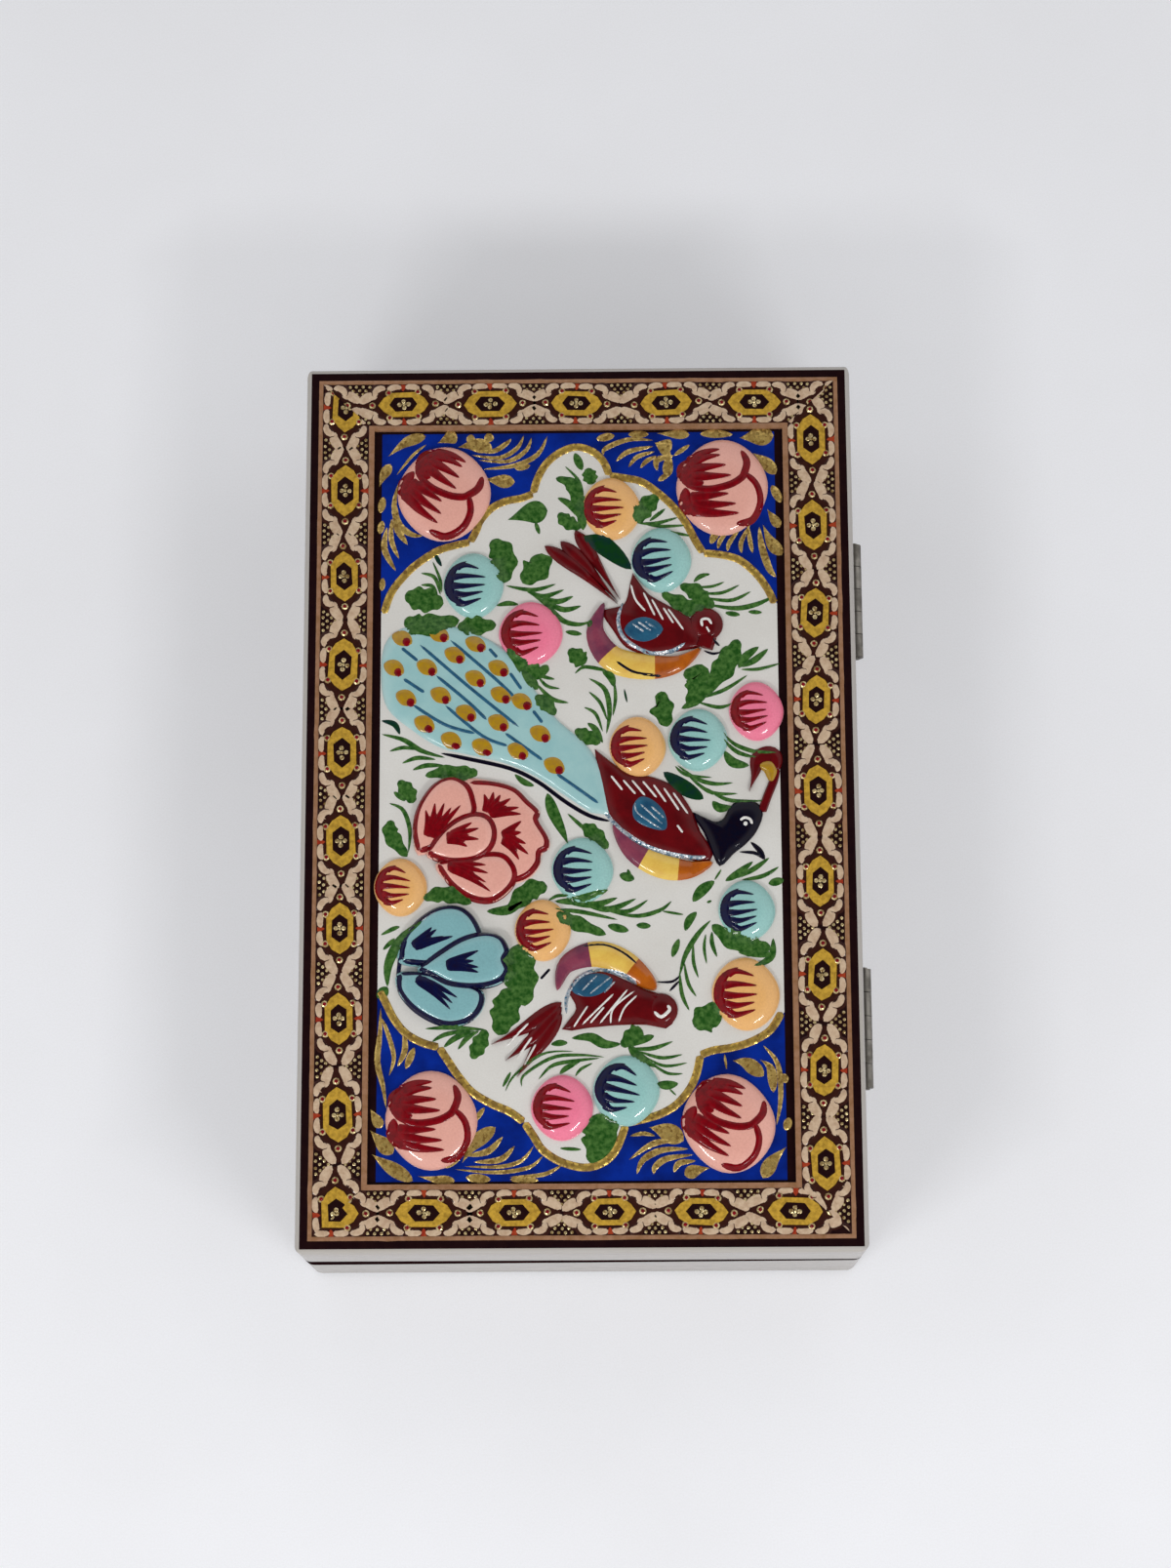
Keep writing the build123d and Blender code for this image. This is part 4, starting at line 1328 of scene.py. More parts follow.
TAIL_OUTLINE = (
    -43, 27, -42, 35, -37, 38.5, -29, 38.6, -22, 36.5, -15, 32, -10, 24.5, -5, 17.5, 2, 11, 6, 2.5, 6, -4.5,
    2, -3.2, -3, 0.2, -9, 4.4, -16, 7.6, -24, 9.6, -30, 11.2, -36, 15, -41.5, 20,
)
TAIL_MIDDLE = (-21.0, 20.0)
TAIL_PLATEAU = 6.0
EYE_WIDTH = 3.6
PUPIL = (1.1, -0.9, 1.1)
TAIL_EYES = (
    (-38.5, 35.5), (-30.5, 36.3), (-22.5, 34), (-17.5, 28.5), (-27, 31.5), (-33, 28.8), (-40.2, 28.8),
    (-22.5, 26.2), (-30, 22.5), (-37.5, 22), (-17, 22.5), (-12.5, 21), (-24.5, 18.5), (-33.5, 16.2),
    (-17.5, 16.3), (-27.7, 12.5), (-21, 11), (-13.3, 10), (-8.5, 13.8), (-5.5, 6.7),
)
TAIL_LINES = (
    (0.45, -38.5, 33.3, -35, 30.3), (0.45, -34.6, 34, -24, 24.5, -13, 15.3),
    (0.45, -28, 35, -18, 26, -14, 22), (0.45, -19.5, 33, -17.8, 31), (0.45, -38, 26.3, -33.5, 23.2),
    (0.45, -31, 27, -24, 21, -20, 17), (0.45, -36, 20.5, -29, 16, -22.5, 14),
    (0.45, -29, 20.3, -21, 13.5, -15.5, 11.2), (0.45, -15, 27.5, -12.5, 23.8), (0.45, -16, 14, -8, 8),
    (0.45, -10, 19, -8, 16.3), (0.45, -5, 5, 4, -1.5),
)
TAIL_LINE_GAIN = 1.6
TAIL_BORDER = (0.9, -30, 10, -24, 8.7, -15, 6.5, -9, 3.5, -3, -1, 2, -4, 6.5, -5.3)
BODY_OUTLINE = (
    3.3, 11.5, 6, 8, 11, 5.3, 16, 4.3, 20.5, 2, 24, -3, 26, -8, 28.5, -12, 27, -14.5, 20, -12.8, 12, -10,
    7, -5, 4.5, 2,
)
HEAD_OUTLINE = (
    24, -3.5, 28, -5.3, 30.5, -5, 33, -1.5, 37.5, -1.2, 39.3, -3.5, 38, -7.5, 35.5, -10.5, 33, -12.5,
    30, -15.3, 28.5, -13, 26.5, -8,
)
WING_OUTLINE = (10.5, -2, 12.5, 0.5, 16, -0.5, 19, -4, 19.3, -8.5, 14.5, -7.8, 11, -5.5)
BODY_MIDDLE = (15, -4)
HEAD_MIDDLE = (31.5, -8)
WING_MIDDLE = (15, -3.5)
WING_RISE = 0.35
BELLY = ((7, -6), (11, -11.5), (17, -15), (23, -16), (28.5, -14.5))
BELLY_WIDTH = 5.4
BELLY_RISE = 1.1
LARGE_BEAK_RISE = 0.2
LARGE_BEAK = ((1.2, 36.5, -10, 38.5, -12, 39.5, -14), (0.8, 34, -12.2, 37.5, -12.5, 39.5, -14))
LARGE_BROW = ((0.6, 34.3, -5.6, 35.2, -5.0, 36.4, -5.3, 36.9, -6.4),)
CREST_STALK = ((39, -3.5), (40.3, 0), (41.7, 3.5), (42.2, 6))
CREST_HEAD = ((42.6, 5.5), (41.5, 8.6), (38.6, 8.0), (37.6, 4.6), (36.4, 1.0))
CREST_PATCH = ((41.2, 3.0), (41.0, 6.2), (38.6, 6.6))
BODY_WHITE = (
    (0.45, 6.7, 4.5, 9.2, 1.2), (0.45, 9.3, 3.5, 12, 0.3), (0.45, 11.2, 3.5, 14, 0),
    (0.45, 13.5, 3.3, 16.5, -0.5), (0.45, 15.8, 2.5, 18.5, -1.5), (0.45, 18, 1.8, 21.3, -3.3),
    (0.45, 20, 0.8, 23.2, -4), (0.45, 20.8, -6.5, 22, -8.2),
)
BODY_SILVER = (
    (0.9, 3.5, 3, 6, -4, 11, -9, 17, -12, 24, -13.5, 27, -13.3), (0.35, 11.8, -1.5, 12.5, -4, 17.5, -7.5),
    (0.35, 13, -2, 17.8, -6.5), (0.35, 15.3, -2.5, 18, -5),
)
BIRD_RED, NAVY, YELLOW_BREAST, ORANGE_PATCH, MAUVE, TEAL, SILVER, WHITE_PAINT, OCHRE = range(9)
BREAST_TONES = ((0.36, MAUVE), (0.66, YELLOW_BREAST), (1.0, ORANGE_PATCH))


def bird_paints():
    """The materials of a bird, in the order of the tones."""
    return [
        lacquer("Bird red", "bird_red", "dark_line", 300.0, 0.35, 0.06),
        lacquer("Ink", "ink", "dark_line", 900.0, 0.4, 0.05),
        lacquer("Bird yellow", "yellow", "orange", 260.0, 0.3, 0.07),
        lacquer("Bird orange", "orange", "bird_red", 260.0, 0.4, 0.07),
        lacquer("Bird mauve", "mauve", "navy", 260.0, 0.4, 0.07),
        lacquer("Bird teal", "teal", "navy", 260.0, 0.5, 0.07),
        gold("Silver powder", "silver", "teal", 2500.0),
        lacquer("White paint", "white", "skin_shade", 900.0, 0.3, 0.1),
        lacquer("Ochre paint", "ochre", "wood_dark", 900.0, 0.4, 0.1),
    ]


def raised(bm, numbers, middle, height, tone, plateau=3.0, sides=56, rings=16):
    """A raised shape inside an outline given as a flat row."""
    relief(bm, middle, outline(pairs(numbers), middle), height, tone, plateau, sides, rings)


class ShapePeacock(bpy.types.Operator):
    """Shapes the large bird: its spotted tail, body, head and crest"""

    bl_idname = "inlaid_box.shape_peacock"
    bl_label = "Shape the large bird"
    bl_options = {"REGISTER", "UNDO"}

    def execute(self, context):
        sizes = context.scene.box_sizes
        thin = sizes.line_thickness
        rim = pale_foot(0.8, 0.25)
        tail_paint = lacquer("Tail lacquer", "tail", "blue_rose", 180.0, 0.5, 0.06, 0.05, [rim])
        paints = bird_paints()
        red_line = line_paint("Dark red line", "dark_red")
        bm = bmesh.new()
        raised(bm, TAIL_OUTLINE, TAIL_MIDDLE, sizes.tail_height, 0, TAIL_PLATEAU, 96, 20)
        ground = Ground(PANEL_TOP).take(bm)
        blue_line = lacquer("Blue line", "teal", "navy", 900.0, 0.4, 0.08)
        lines = [(TAIL_LINE_GAIN * width, *numbers) for width, *numbers in TAIL_LINES]
        paint(bm, lines, line, 1.5 * thin, ground, 1, 14, 2)
        paint(bm, (TAIL_BORDER,), line, thin, ground, 2, 18)
        for order, (x, y) in enumerate(TAIL_EYES):
            points = [(x - 2.2, y + 1.1), (x, y + 0.1), (x + 2.2, y - 1.3)]
            stroke(bm, points, EYE_WIDTH, leaf, 1.8 * thin, ground, 3, 10, 12, order)
            dot(bm, x + PUPIL[0], y + PUPIL[1], PUPIL[2], 3.4 * thin, ground, 4, 10)
        parts = [tail_paint, blue_line, paints[NAVY], paints[OCHRE], red_line]
        make_piece("painted_tail", bm, parts, "peacock", "lid", ("peacock_tail",))
        bm = bmesh.new()
        bare = Ground(PANEL_TOP)
        raised(bm, BODY_OUTLINE, BODY_MIDDLE, sizes.bird_height, BIRD_RED)
        stroke(bm, BELLY, BELLY_WIDTH, leaf, BELLY_RISE, bare, BREAST_TONES, 8, 30)
        raised(bm, HEAD_OUTLINE, HEAD_MIDDLE, sizes.bird_height, NAVY)
        raised(bm, WING_OUTLINE, WING_MIDDLE, sizes.bird_height + WING_RISE, TEAL, 5.0)
        ground = Ground(PANEL_TOP).take(bm)
        paint(bm, BODY_WHITE, line, thin, ground, WHITE_PAINT)
        paint(bm, BODY_SILVER, line, thin, ground, SILVER, 12)
        paint(bm, LARGE_BEAK, leaf, LARGE_BEAK_RISE, ground, NAVY)
        paint(bm, LARGE_BROW, line, 1.5 * thin, ground, WHITE_PAINT)
        dot(bm, 35.4, -6.3, 0.5, thin, ground, WHITE_PAINT, 8)
        stroke(bm, CREST_STALK, 1.9, even, 0.7, bare, BIRD_RED, 8, 20)
        stroke(bm, CREST_HEAD, 4.6, club, 0.8, bare, BIRD_RED, 10, 26)
        stroke(bm, CREST_PATCH, 3.2, leaf, 0.95, bare, OCHRE, 10, 16)
        make_piece("painted_large_bird", bm, paints, "peacock", "lid", ("peacock_body",))
        return {"FINISHED"}


UPPER_BIRD = {
    "body": (12, 50.5, 14.5, 46, 19, 43, 22.5, 41, 25, 39, 27, 34, 25, 33, 19, 32, 14, 31.8, 10, 33.5,
             7.5, 37, 5, 41.5, 8.5, 42.5, 10.3, 44),
    "middle": (16, 38),
    "tail": ((3.2, -7.5, 56.5, 0, 51, 8.5, 43), (3.2, -4, 57.5, 1.5, 52, 8.5, 43.5),
             (3.0, -0.8, 60, 3, 54, 9, 44)),
    "belly": (5.2, 5.5, 43.5, 3.5, 37, 7, 31, 14, 29, 21, 29.5, 26.5, 33),
    "navy": ((0.6, 8, 30, 12, 27.5, 18, 26.7),),
    "head": ((27.6, 38.4, 3.7),),
    "neck": (4.0, 27, 33, 28, 36),
    "wing": (14, 37, 4.25, 2.75, 0),
    "silver": ((0.8, 9.5, 43.5, 8.5, 39, 10, 35, 15, 32, 20, 32.3, 23, 34), (0.4, 11.6, 38.2, 14, 36.4),
               (0.4, 12.8, 38.6, 15.6, 36.6), (0.4, 14.4, 38.6, 16.8, 37)),
    "white": ((0.45, 11.3, 47.5, 12.3, 43.8, 14.5, 41), (0.45, 14, 45.5, 16.5, 40),
              (0.45, 15.8, 44, 18.3, 39), (0.45, 18.3, 42, 20.5, 38.3), (0.45, 19.3, 41.8, 22.7, 36.8),
              (0.6, 26.8, 37.5, 26.6, 39, 28, 39.2, 28.8, 38), (0.4, 27.6, 37.5, 28.3, 36.3)),
    "beak": ((0.6, 29, 35, 30.5, 33.5), (0.6, 27, 32.5, 29, 31.8, 31, 32.2)),
}
LOWER_BIRD = {
    "body": (-4, -50.5, -1, -46, -2.5, -42, 0, -38.5, 5, -38, 10, -40, 14, -42, 16, -42.5,
             19.5, -44.5, 20, -48, 18, -50.3, 14, -49.5, 8, -49.5, 2, -50),
    "middle": (7, -45),
    "tail": ((3.4, -4, -44.5, -11, -49.5, -19, -53.5), (3.4, -4, -45.5, -10, -52, -16, -57),
             (3.4, -4, -47, -9, -54, -13.5, -60.5)),
    "belly": (5.0, -5, -42, -3, -36.5, 3, -34.2, 9, -36, 14, -40, 16, -42),
    "navy": ((0.5, 0, -32.6, 5, -32.3, 9, -34, 12, -36.5), (0.6, -8.5, -39.5, -6.5, -37.3)),
    "head": ((17, -46.3, 3.6),),
    "neck": (4.0, 13, -44.5, 17, -45),
    "wing": (2.5, -41, 4.5, 2.5, 15),
    "silver": ((0.9, -3, -47, -2.8, -43, 0, -39, 4, -37.7, 9, -38.8, 12, -40.8), (0.35, 0.3, -42.3, 3.5, -39),
               (0.35, 2, -43, 6.5, -39.3), (0.35, 5, -42.8, 7.3, -40.3)),
    "white": ((0.4, 1.5, -45.5, -1.5, -50), (0.4, 7, -43, 0.3, -49.5), (0.4, 5, -45.8, 2, -49.2),
              (0.4, 10, -42, 4, -49.3), (0.4, 11.5, -42.3, 7, -46, 6.3, -49.3),
              (0.4, 12, -43.3, 9.3, -46, 8, -49), (0.45, -11, -49, -16, -54), (0.45, -11, -51, -15.5, -55.5),
              (0.45, -10.3, -52, -13.5, -56.5), (0.45, -9.5, -53.5, -12, -58),
              (0.7, 15.5, -46.8, 17, -48, 18.8, -46.5, 18.3, -45.5)),
    "beak": ((0.6, 16, -40.3, 19.5, -40.2, 21.2, -38.8), (0.6, 18.8, -42.3, 21, -40)),
}


FEATHER_RISE = 0.7
BREAST_GAIN = 1.15
BREAST_RISE = 0.7
NECK_RISE = 0.8
SMALL_WING_RISE = 0.3
SMALL_BEAK_RISE = 0.15


def small_bird(name, bird, node, height, thin):
    """A small bird: tail feathers, body, breast, head, wing and painted strokes."""
    bm = bmesh.new()
    bare = Ground(PANEL_TOP)
    paint(bm, bird["tail"], club, FEATHER_RISE, bare, BIRD_RED, 14)
    width, *numbers = bird["belly"]
    stroke(bm, pairs(numbers), BREAST_GAIN * width, leaf, BREAST_RISE * height, bare, BREAST_TONES, 8, 30)
    raised(bm, bird["body"], bird["middle"], height, BIRD_RED)
    width, *numbers = bird["neck"]
    stroke(bm, pairs(numbers), width, even, NECK_RISE * height, bare, BIRD_RED, 8, 12)
    for x, y, radius in bird["head"]:
        relief(bm, (x, y), lambda angle: radius, height, BIRD_RED, 2.4, 28, 14)
    ground = Ground(PANEL_TOP).take(bm)
    x, y, half_length, half_width, degrees = bird["wing"]
    at = turned(x, y, half_length, degrees)
    ends = [at(-1, 0), at(0, 0), at(1, 0)]
    stroke(bm, ends, 2 * half_width, leaf, SMALL_WING_RISE, ground, TEAL, 8, 14, 3)
    ground = Ground(PANEL_TOP).take(bm)
    paint(bm, bird["navy"], line, thin, ground, NAVY)
    paint(bm, bird["silver"], line, thin, ground, SILVER, 14)
    paint(bm, bird["white"], line, thin, ground, WHITE_PAINT)
    paint(bm, bird["beak"], leaf, SMALL_BEAK_RISE, ground, NAVY)
    return make_piece(name, bm, bird_paints(), "birds", "lid", (node,))


class ShapeSmallBirds(bpy.types.Operator):
    """Shapes the two small birds"""

    bl_idname = "inlaid_box.shape_small_birds"
    bl_label = "Shape the small birds"
    bl_options = {"REGISTER", "UNDO"}

    def execute(self, context):
        sizes = context.scene.box_sizes
        small_bird("painted_upper_bird", UPPER_BIRD, "upper_bird", sizes.bird_height, sizes.line_thickness)
        small_bird("painted_lower_bird", LOWER_BIRD, "lower_bird", sizes.bird_height, sizes.line_thickness)
        return {"FINISHED"}


# Leaves and grasses

# A row is a stroke: its width, and then the x and y of each point.
LEAVES = (
    (1.0, -9.5, 62, -8.6, 59.2), (1.9, -0.8, 77.8, 0.8, 73.8), (2.6, 2, 74.3, 3, 70.5),
    (0.7, -3, 74.8, 0, 71.5, 1.1, 68), (2.6, -5, 72, -1.5, 70.5, 0.3, 65, 1, 60),
    (1.6, -4.6, 67.5, -2, 66, 0, 63), (2.6, -4.4, 64, -2.5, 62, 0.5, 60.5),
    (3.4, 17.5, 68, 14.5, 65, 12.5, 61.5), (0.9, 19, 64.8, 15.5, 62), (0.9, 21.8, 62.8, 17, 61.5, 13, 61.5),
    (0.8, 24, 61, 18, 60.8, 14, 61.5), (0.7, 24.5, 58.5, 20, 59.5),
    (3.0, 18, 45.5, 21.5, 43.5, 24.5, 42, 27.5, 42.5), (3.2, 22, 47.3, 25, 46, 27, 44, 29.5, 42.3),
    (1.1, 25, 48, 26.5, 49.3, 28.6, 49.8), (0.7, 25, 46.8, 29, 47, 31.7, 48),
    (0.8, 26, 45.5, 31, 45.5, 35, 47.3), (0.9, 27, 44.5, 33, 43.8, 37.5, 45.8),
    (1.2, 27.5, 43, 34, 42, 39, 43, 43, 45), (1.2, 31.8, 41, 35, 40.5), (1.0, 36.8, 41.2, 39.8, 41),
    (4.0, 34.5, 35, 33, 31.5, 30.5, 27.5, 26.5, 22.5), (3.4, 31, 33, 33, 31),
    (1.9, 39, 33.3, 36, 31, 34.5, 28.5), (1.5, 41, 32.8, 38, 30.3, 35, 28.8),
    (0.8, 43.5, 29.5, 39, 28.3, 35, 28.2), (4.4, 22.5, 27, 25.5, 27, 25.5, 23.5, 23.5, 20),
    (2.2, 28, 26, 26, 22, 22, 19.5), (4.2, 16.5, 21, 17.5, 20.5, 19, 15.5),
    (0.9, 36.5, 27, 31, 23.5, 24.5, 21.5), (0.9, 25.5, 21, 30, 19.8, 33, 20.5),
    (4.4, -38, 45.5, -34, 44.5, -29.5, 43.5), (4.2, -38, 40, -34, 38.5, -26, 39.8),
    (2.5, -36, 38, -31, 37.5), (0.9, -34.5, 47.8, -32, 47.5, -30.8, 45),
    (0.9, -34.5, 50.5, -31.5, 49.5, -30.2, 45.5), (0.7, -32, 53.2, -30.3, 49, -30, 46),
    (4.6, -19, 58, -16.5, 54, -16.5, 48), (5.0, -9.5, 54.5, -9, 52, -12.3, 48),
    (1.0, -16, 47.5, -10, 46.5, -5, 47.8), (1.2, -12, 46.8, -8, 45, -3.2, 46.5),
    (1.3, -9.5, 45.5, -5, 43.8, -1.2, 45), (1.3, -8, 44.3, -3.5, 42, 0.5, 42.8),
    (1.2, -12, 47, -7, 43, -3.5, 39.5, 0, 38.6, 2.5, 39.3), (1.2, 2.4, 39.6, 2.2, 37.8),
    (1.2, -3, 37, 0.6, 36.4), (1.2, -18, 43, -15.5, 43.5, -13.2, 43.2),
    (3.4, -26.5, 38.2, -23, 38.3, -18, 38.7), (2.6, -15.7, 33, -12, 29, -8.5, 28, -6.8, 29.5),
    (0.9, -13, 29, -8, 27, -5.3, 26.3), (0.8, -9, 27, -7, 24.8, -4.2, 24.2),
    (1.0, -9.5, 25.5, -6, 22, -2.3, 21), (2.4, -13, 30, -10.5, 26, -9, 24),
    (2.8, -9.5, 22.5, -7.5, 21, -5.2, 18.3), (3.2, -2.3, 33, 0, 31, 1.5, 30),
    (0.9, -1, 27.5, 1, 29, 4.5, 28.5, 6, 28), (1.8, 5, 28, 6.8, 26.8, 7.5, 24.5),
    (1.2, 2, 26.5, 5.5, 24, 6.5, 19, 5.8, 14), (0.8, 7.5, 26, 7.8, 22, 7.2, 18),
    (0.8, 2, 23.5, 4.5, 21, 6, 17), (0.8, 1, 20, 3.5, 18.5, 5, 14.5), (1.4, 1.7, 16.5, 3.5, 15, 5, 12),
    (2.6, -1, 15, 1.5, 13.5, 4.5, 12), (1.2, -42.8, 14.3, -38, 13, -34, 10.5, -29, 9),
    (0.9, -41, 10.5, -38, 11.3, -35, 10.8), (1.0, -38.3, 7.8, -35, 9, -31, 8.6),
    (1.1, -36, 6.3, -33, 7.3, -29, 7.2), (2.6, -33.3, 5, -29, 5.8, -24, 5.5, -22, 6),
    (1.4, -14, 5.2, -12, 3.5, -9.8, 2.6), (2.8, -39, 4, -37, 1.5, -35.8, -1), (1.2, -40, 1.5, -37.5, -0.5),
    (1.0, -41, -1, -38, -2.5, -36.5, -7, -36.8, -12), (2.8, -40.5, -4.7, -40.5, -8, -37, -12.8),
    (0.9, -2.7, -3.5, 0, -6, 1, -7), (2.8, 0.5, -6, 3, -8, 6, -11.3),
    (3.6, -15.5, -25, -11, -20.5, -7, -19.5), (2.2, -20, -24.8, -15.5, -24.5, -12, -22.5),
    (2.8, -33.5, -22, -29, -21, -23.2, -23), (0.8, -6.8, -22.5, -4.8, -21.5, -2.5, -21.6),
    (1.8, -5.5, -22.7, 0, -22.5, 6, -20.3), (1.5, -3, -23, 3, -23.5, 8, -22),
    (1.4, 0, -23, 6, -24.5, 12, -22.2), (1.0, 4, -24.2, 10, -25, 14.5, -22.5),
    (1.0, 6, -25, 12, -26, 17, -24.8, 19.5, -22.8), (1.0, -5.5, -24.5, 0, -25, 8, -26.8),
    (2.6, -5, -25.5, -2, -27, 5.5, -30), (1.8, 5.8, -28, 10.3, -29.2), (1.4, 11.9, -28, 15, -28.2),
    (0.6, 17.5, -25, 22, -25.8), (2.0, 8.4, -17, 11.6, -18), (1.0, 10.2, -15.8, 10.8, -18.5),
    (2.4, 24, -23, 26, -20.5, 28.7, -18.5), (0.5, 28.7, -18.3, 30.2, -16),
    (1.6, 31, -18.5, 33.5, -17, 37, -14.3), (1.2, 33, -18, 37, -16, 40.5, -13.5),
    (1.0, 34.5, -18.3, 39, -17.5, 42.5, -15.5), (1.8, 40.2, -19.2, 43.5, -18.3),
    (1.8, 22.3, -29.3, 23.2, -27, 24.8, -25.2), (1.5, 19.5, -35, 20.2, -33, 21, -31),
    (0.6, 27, -23.2, 28, -22.8), (1.2, 27.8, -27, 25, -30, 22.3, -34.5, 21, -39),
    (0.9, 21, -38, 21.5, -43, 23, -46.5), (0.8, 22, -36, 22.8, -40.5, 24.5, -43.5),
    (0.8, 24, -32, 24, -36, 25, -39.5), (0.7, 26.7, -30, 26.3, -33, 26.8, -36.5),
    (1.0, 28, -29.5, 28, -32, 29, -35), (3.6, 28, -28, 32, -31, 37, -32.8, 40.5, -33),
    (1.8, 33.5, -34, 38, -34.3, 40.8, -34.5), (1.6, 41, -31, 40.5, -35, 36.8, -37.2),
    (5.0, 24, -50, 27, -48, 29.8, -48.5), (2.2, -33.5, -27, -38, -30.5, -40.8, -36, -41, -41),
    (1.0, -42.5, -29.8, -40, -28.5, -38.5, -28), (1.0, -42, -33, -39.5, -30.5), (2.4, -43, -43.5, -41, -41),
    (1.0, -33, -50, -27, -49.8, -20, -50.3), (1.0, -31.5, -52.8, -28.5, -51.2, -23, -50.3),
    (1.3, -29, -54, -26.5, -52, -22.5, -50.5), (1.2, -26, -54.5, -24, -52, -21.5, -50.5),
    (2.8, -23, -56.5, -21.5, -53.5, -20, -50.3), (5.6, -13.5, -32, -12.8, -38, -11.8, -45.3),
    (5.0, -15.5, -41.3, -15.8, -46, -17.5, -51.5), (1.4, -6.3, -53.5, -4.5, -53.2, -2.8, -53.2),
    (2.2, -2, -52.2, 2, -52, 5, -53.5, 8.5, -53.5), (3.2, 8.5, -54, 11.5, -51.5, 13, -50.5),
    (1.6, 10, -54, 13.5, -52.5, 15.5, -51.8), (1.0, 10, -54.5, 15, -54.5, 19.5, -53),
    (0.8, 12, -55, 17, -56.5, 21.5, -55.8), (0.7, 13, -56, 17.5, -58.2, 22.5, -57.6),
    (0.7, 14, -57, 18, -59.7, 21.5, -59.9), (2.0, 10, -53.5, 12, -56, 16, -58.5),
    (0.8, 5, -56.3, 0, -55.8, -6, -56.3, -12, -60, -12.5, -62.5),
    (0.9, 4, -56.5, -1, -57, -6, -58, -9, -61), (1.2, 0, -57, -3, -58.5, -4.5, -59.8),
    (0.7, 2.5, -57.5, 0, -58.8, -1.2, -60.3), (0.6, -1.5, -55, -8, -55.5, -14, -60, -16, -63.5),
    (0.8, -14.8, -59.3, -16.5, -62.5), (6.2, 3.2, -68.3, 4.2, -73, 2.8, -79.3),
    (0.8, -4.5, -75.5, 0, -75.8), (2.0, 16, -62, 18, -62.3, 20.5, -62), (0.4, 18.5, -63, 20, -64.5),
    (2.0, 28.5, -1, 30, -2.5, 32.5, -2.3), (1.0, 21, 7, 25, 4, 29, 2.8, 33, 3),
    (0.9, 23, 5, 28, 1, 34, 0.6), (0.9, 27, 2, 32, -0.8, 39.5, -1), (0.8, 20.5, 6.8, 23, 4.8, 28.5, 4.2),
    (1.0, 31, 14, 33.5, 11.5, 38, 9.8, 42.5, 9.5), (1.0, 31, 12.5, 34, 9.8, 38, 8.5),
    (2.2, 31.2, 10, 33, 7.5, 36.5, 6.8),
)
COMMA_LEAVES = ((5.2, -15.6, 62.5, -11, 64, -6.8, 64.6),)
CLUB_LEAVES = ((2.6, -7, 1, -5.8, -3, -3.5, -8, -2.5, -10.5),)
DARK_LEAVES = (
    (4.2, 1, 58.5, 6, 56, 11.5, 51), (1.0, -31.7, 55.2, -30, 52), (0.5, 9.7, 24, 10.3, 21),
    (1.3, -42.8, 17.3, -40, 16.5, -38.8, 14.2), (3.4, 18, 5.5, 22.5, 2, 26.6, -0.5),
)
RAISED_PIECES = (
    "painted_corner_buds", "painted_blue_buds", "painted_orange_buds", "painted_pink_buds",
    "painted_red_rose", "painted_blue_rose", "painted_tail", "painted_large_bird",
    "painted_upper_bird", "painted_lower_bird",
)
LOBED_WIDTH = 2.5
LEAF_RINGS = 11
LOBED_RINGS = 20
CURL_RINGS = 14


class PaintLeaves(bpy.types.Operator):
    """Paints the leaves and grasses over everything that is raised"""

    bl_idname = "inlaid_box.paint_leaves"
    bl_label = "Paint leaves and grasses"
    bl_options = {"REGISTER", "UNDO"}

    def execute(self, context):
        thickness = context.scene.box_sizes.leaf_thickness
        ground = Ground(PANEL_TOP).take_pieces(RAISED_PIECES)
        bm = bmesh.new()
        small = [row for row in LEAVES if row[0] < LOBED_WIDTH]
        large = [row for row in LEAVES if row[0] >= LOBED_WIDTH]
        paint(bm, small, leaf, thickness, ground, 0, LEAF_RINGS)
        paint(bm, large, lobed, thickness, ground, 0, LOBED_RINGS)
        paint(bm, COMMA_LEAVES, comma, thickness, ground, 0, CURL_RINGS)
        paint(bm, CLUB_LEAVES, club, thickness, ground, 0, CURL_RINGS)
        paint(bm, DARK_LEAVES, leaf, thickness, ground, 1, LEAF_RINGS)
        green = lacquer("Leaf green", "leaf", "leaf_light", 950.0, 0.8, 0.08)
        dark = lacquer("Dark leaf green", "leaf_dark", "navy", 420.0, 0.5, 0.08)
        make_piece("painted_leaves", bm, [green, dark], "panel_ivory")
        return {"FINISHED"}


# Stage

FLOOR_HALF = 3.0
LAMP_PLACES = ((-0.35, -0.45, 0.5), (0.35, -0.45, 0.5))
LAMP_SIZE = (0.25, 0.03)
RENDER_SENSOR = 36.0
NEAR_CLIP = 0.01
ZENITH_START = 0.75
ZENITH_EDGE = 0.92
FLOOR_GLOW = 0.22


def light_the_world(stage):
    """Plain light from the sides, less from overhead, and a pale backdrop for the camera."""
    world = bpy.data.worlds.new("Plain studio")
    bpy.context.scene.world = world
    world.use_nodes = True
    tree = world.node_tree
    tree.nodes.clear()
    direction = add(tree, "ShaderNodeTexCoord").outputs["Generated"]
    height = add(tree, "ShaderNodeSeparateXYZ", {0: direction}).outputs["Z"]
    strength = ranged(tree, height, ZENITH_START, ZENITH_EDGE, stage.sky, stage.zenith)
    seen = add(tree, "ShaderNodeLightPath").outputs["Is Camera Ray"]
    lamp = add(tree, "ShaderNodeBackground", {"Color": WHITE, "Strength": strength})
    backdrop = add(tree, "ShaderNodeBackground", {"Color": WHITE, "Strength": stage.backdrop})
    both = add(tree, "ShaderNodeMixShader", {0: seen, 1: lamp.outputs[0], 2: backdrop.outputs[0]})
    add(tree, "ShaderNodeOutputWorld", {"Surface": both.outputs[0]})


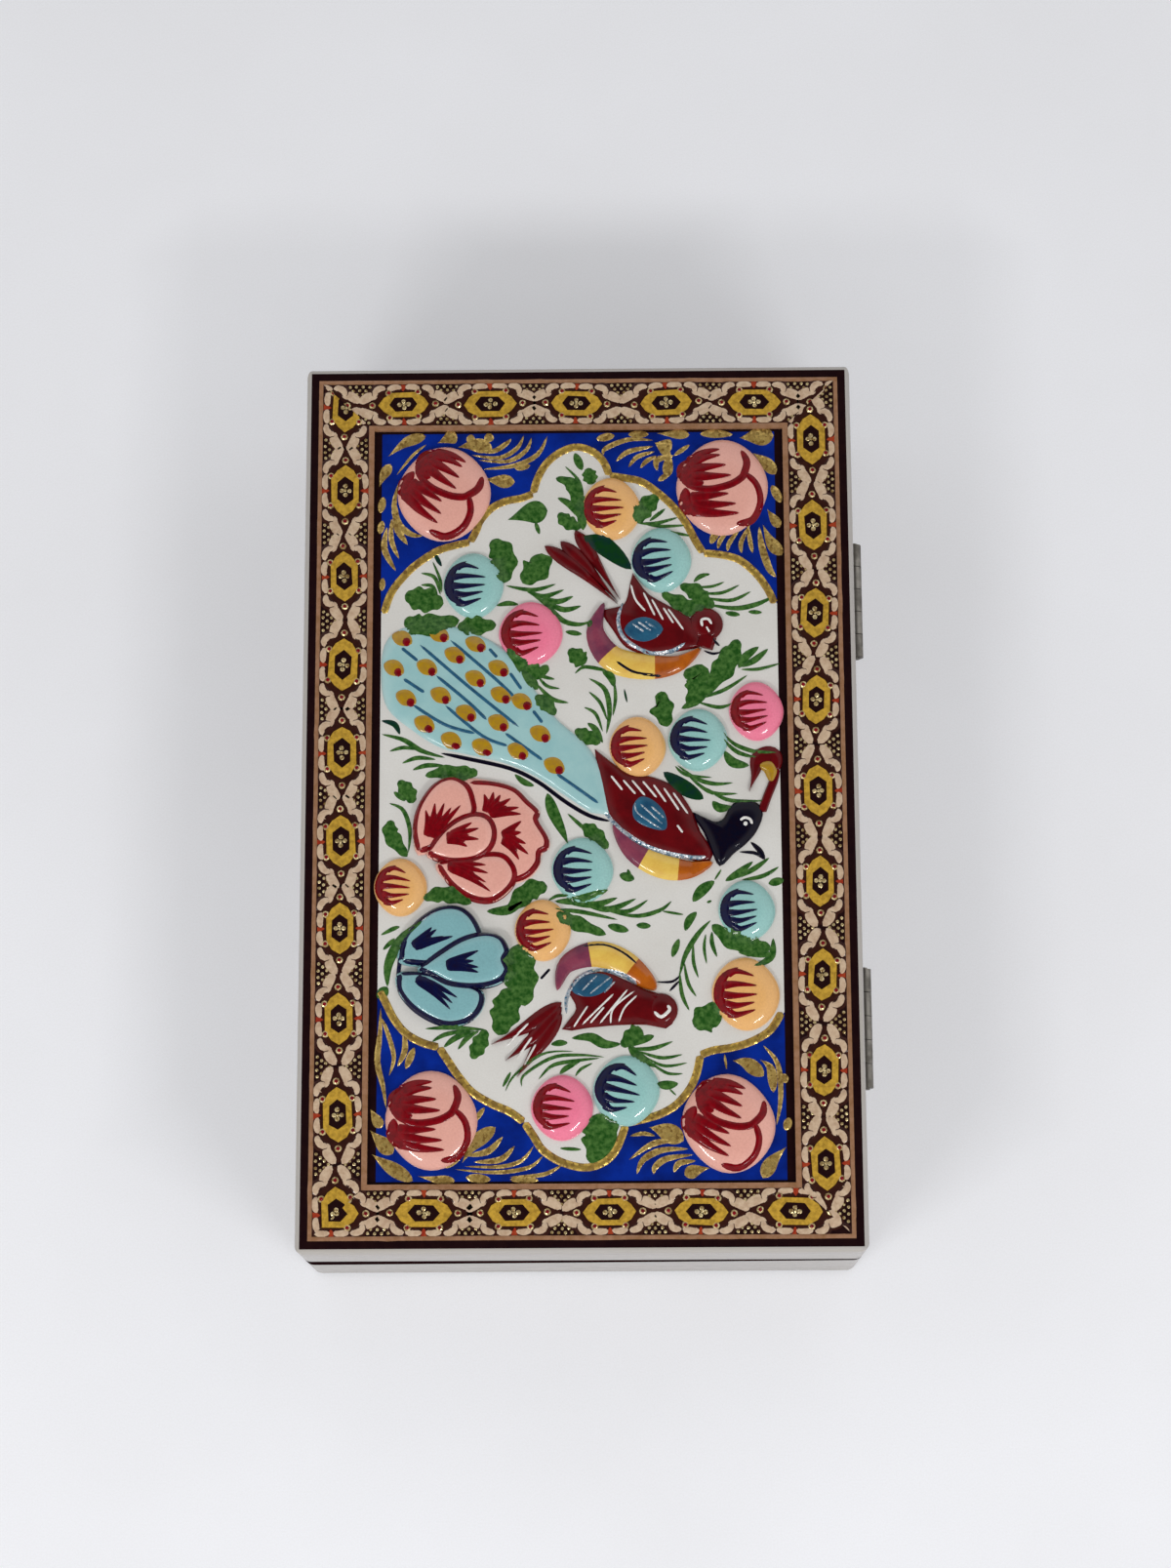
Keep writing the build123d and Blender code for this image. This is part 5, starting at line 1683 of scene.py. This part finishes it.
def pale_table():
    """The table's material, a little brighter where the camera sees it."""
    material = lacquer("Pale table", "floor", "skin", 12.0, 0.1, 0.55, 0.0)
    tree = material.node_tree
    shader = next(node for node in tree.nodes if node.type == "BSDF_PRINCIPLED")
    seen = add(tree, "ShaderNodeLightPath").outputs["Is Camera Ray"]
    glow = reckon(tree, "MULTIPLY", seen, FLOOR_GLOW)
    feed(tree, shader, {"Emission Color": tint("floor"), "Emission Strength": glow})
    return material


def look_at(thing, place, target, above=(0.0, 0.0, 1.0)):
    """Puts a camera or lamp at a place, facing a target."""
    back = (Vector(place) - Vector(target)).normalized()
    right = Vector(above).cross(back).normalized()
    axes = Matrix((right, back.cross(right), back)).transposed().to_4x4()
    thing.matrix_world = Matrix.Translation(place) @ axes


class BuildStage(bpy.types.Operator):
    """Builds the floor, the lamps, the sky and the camera"""

    bl_idname = "inlaid_box.build_stage"
    bl_label = "Build the stage"
    bl_options = {"REGISTER", "UNDO"}

    def execute(self, context):
        scene = context.scene
        stage = scene.box_stage
        light_the_world(stage)
        bm = bmesh.new()
        bmesh.ops.create_grid(bm, x_segments=8, y_segments=8, size=FLOOR_HALF)
        mesh = bpy.data.meshes.new("floor")
        bm.to_mesh(mesh)
        bm.free()
        mesh.materials.append(pale_table())
        floor = bpy.data.objects.new("floor", mesh)
        scene.collection.objects.link(floor)
        for k, place in enumerate(LAMP_PLACES):
            lamp = bpy.data.lights.new(f"strip_lamp_{k}", "AREA")
            lamp.shape = "RECTANGLE"
            lamp.size, lamp.size_y = LAMP_SIZE
            lamp.energy = stage.lamp_power
            holder = bpy.data.objects.new(lamp.name, lamp)
            scene.collection.objects.link(holder)
            look_at(holder, place, stage.target)
        lens = bpy.data.cameras.new("camera")
        lens.sensor_width = RENDER_SENSOR
        lens.lens = stage.lens
        lens.clip_start = NEAR_CLIP
        camera = bpy.data.objects.new("camera", lens)
        scene.collection.objects.link(camera)
        look_at(camera, stage.eye, stage.target, stage.above)
        scene.camera = camera
        scene.view_settings.view_transform = "Standard"
        return {"FINISHED"}


OPERATORS = (
    FinishCase, LayLinings, InlayBorder, PaintFields, ShapeBuds, ShapeRoses, ShapePeacock, ShapeSmallBirds,
    PaintLeaves, BuildStage,
)


class BoxPanel(bpy.types.Panel):
    """Lists the steps that finish the box"""

    bl_idname = "VIEW3D_PT_inlaid_box"
    bl_label = "Inlaid box"
    bl_space_type = "VIEW_3D"
    bl_region_type = "UI"
    bl_category = "Inlaid Box"

    def draw(self, context):
        for operator in OPERATORS:
            self.layout.operator(operator.bl_idname)


SETTINGS = {"box_colours": PaintColours, "box_sizes": PictureSizes, "box_stage": StageSettings}


def register():
    """Registers the settings, the operators and the panel."""
    for name, kind in SETTINGS.items():
        bpy.utils.register_class(kind)
        setattr(bpy.types.Scene, name, PointerProperty(type=kind))
    for kind in (*OPERATORS, BoxPanel):
        bpy.utils.register_class(kind)


def unregister():
    """Takes them out again."""
    for kind in reversed((*OPERATORS, BoxPanel)):
        bpy.utils.unregister_class(kind)
    for name, kind in reversed(SETTINGS.items()):
        delattr(bpy.types.Scene, name)
        bpy.utils.unregister_class(kind)


def main():
    """Runs every step in order."""
    register()
    for operator in OPERATORS:
        group, step = operator.bl_idname.split(".")
        getattr(getattr(bpy.ops, group), step)()


if __name__ == "__main__":
    main()
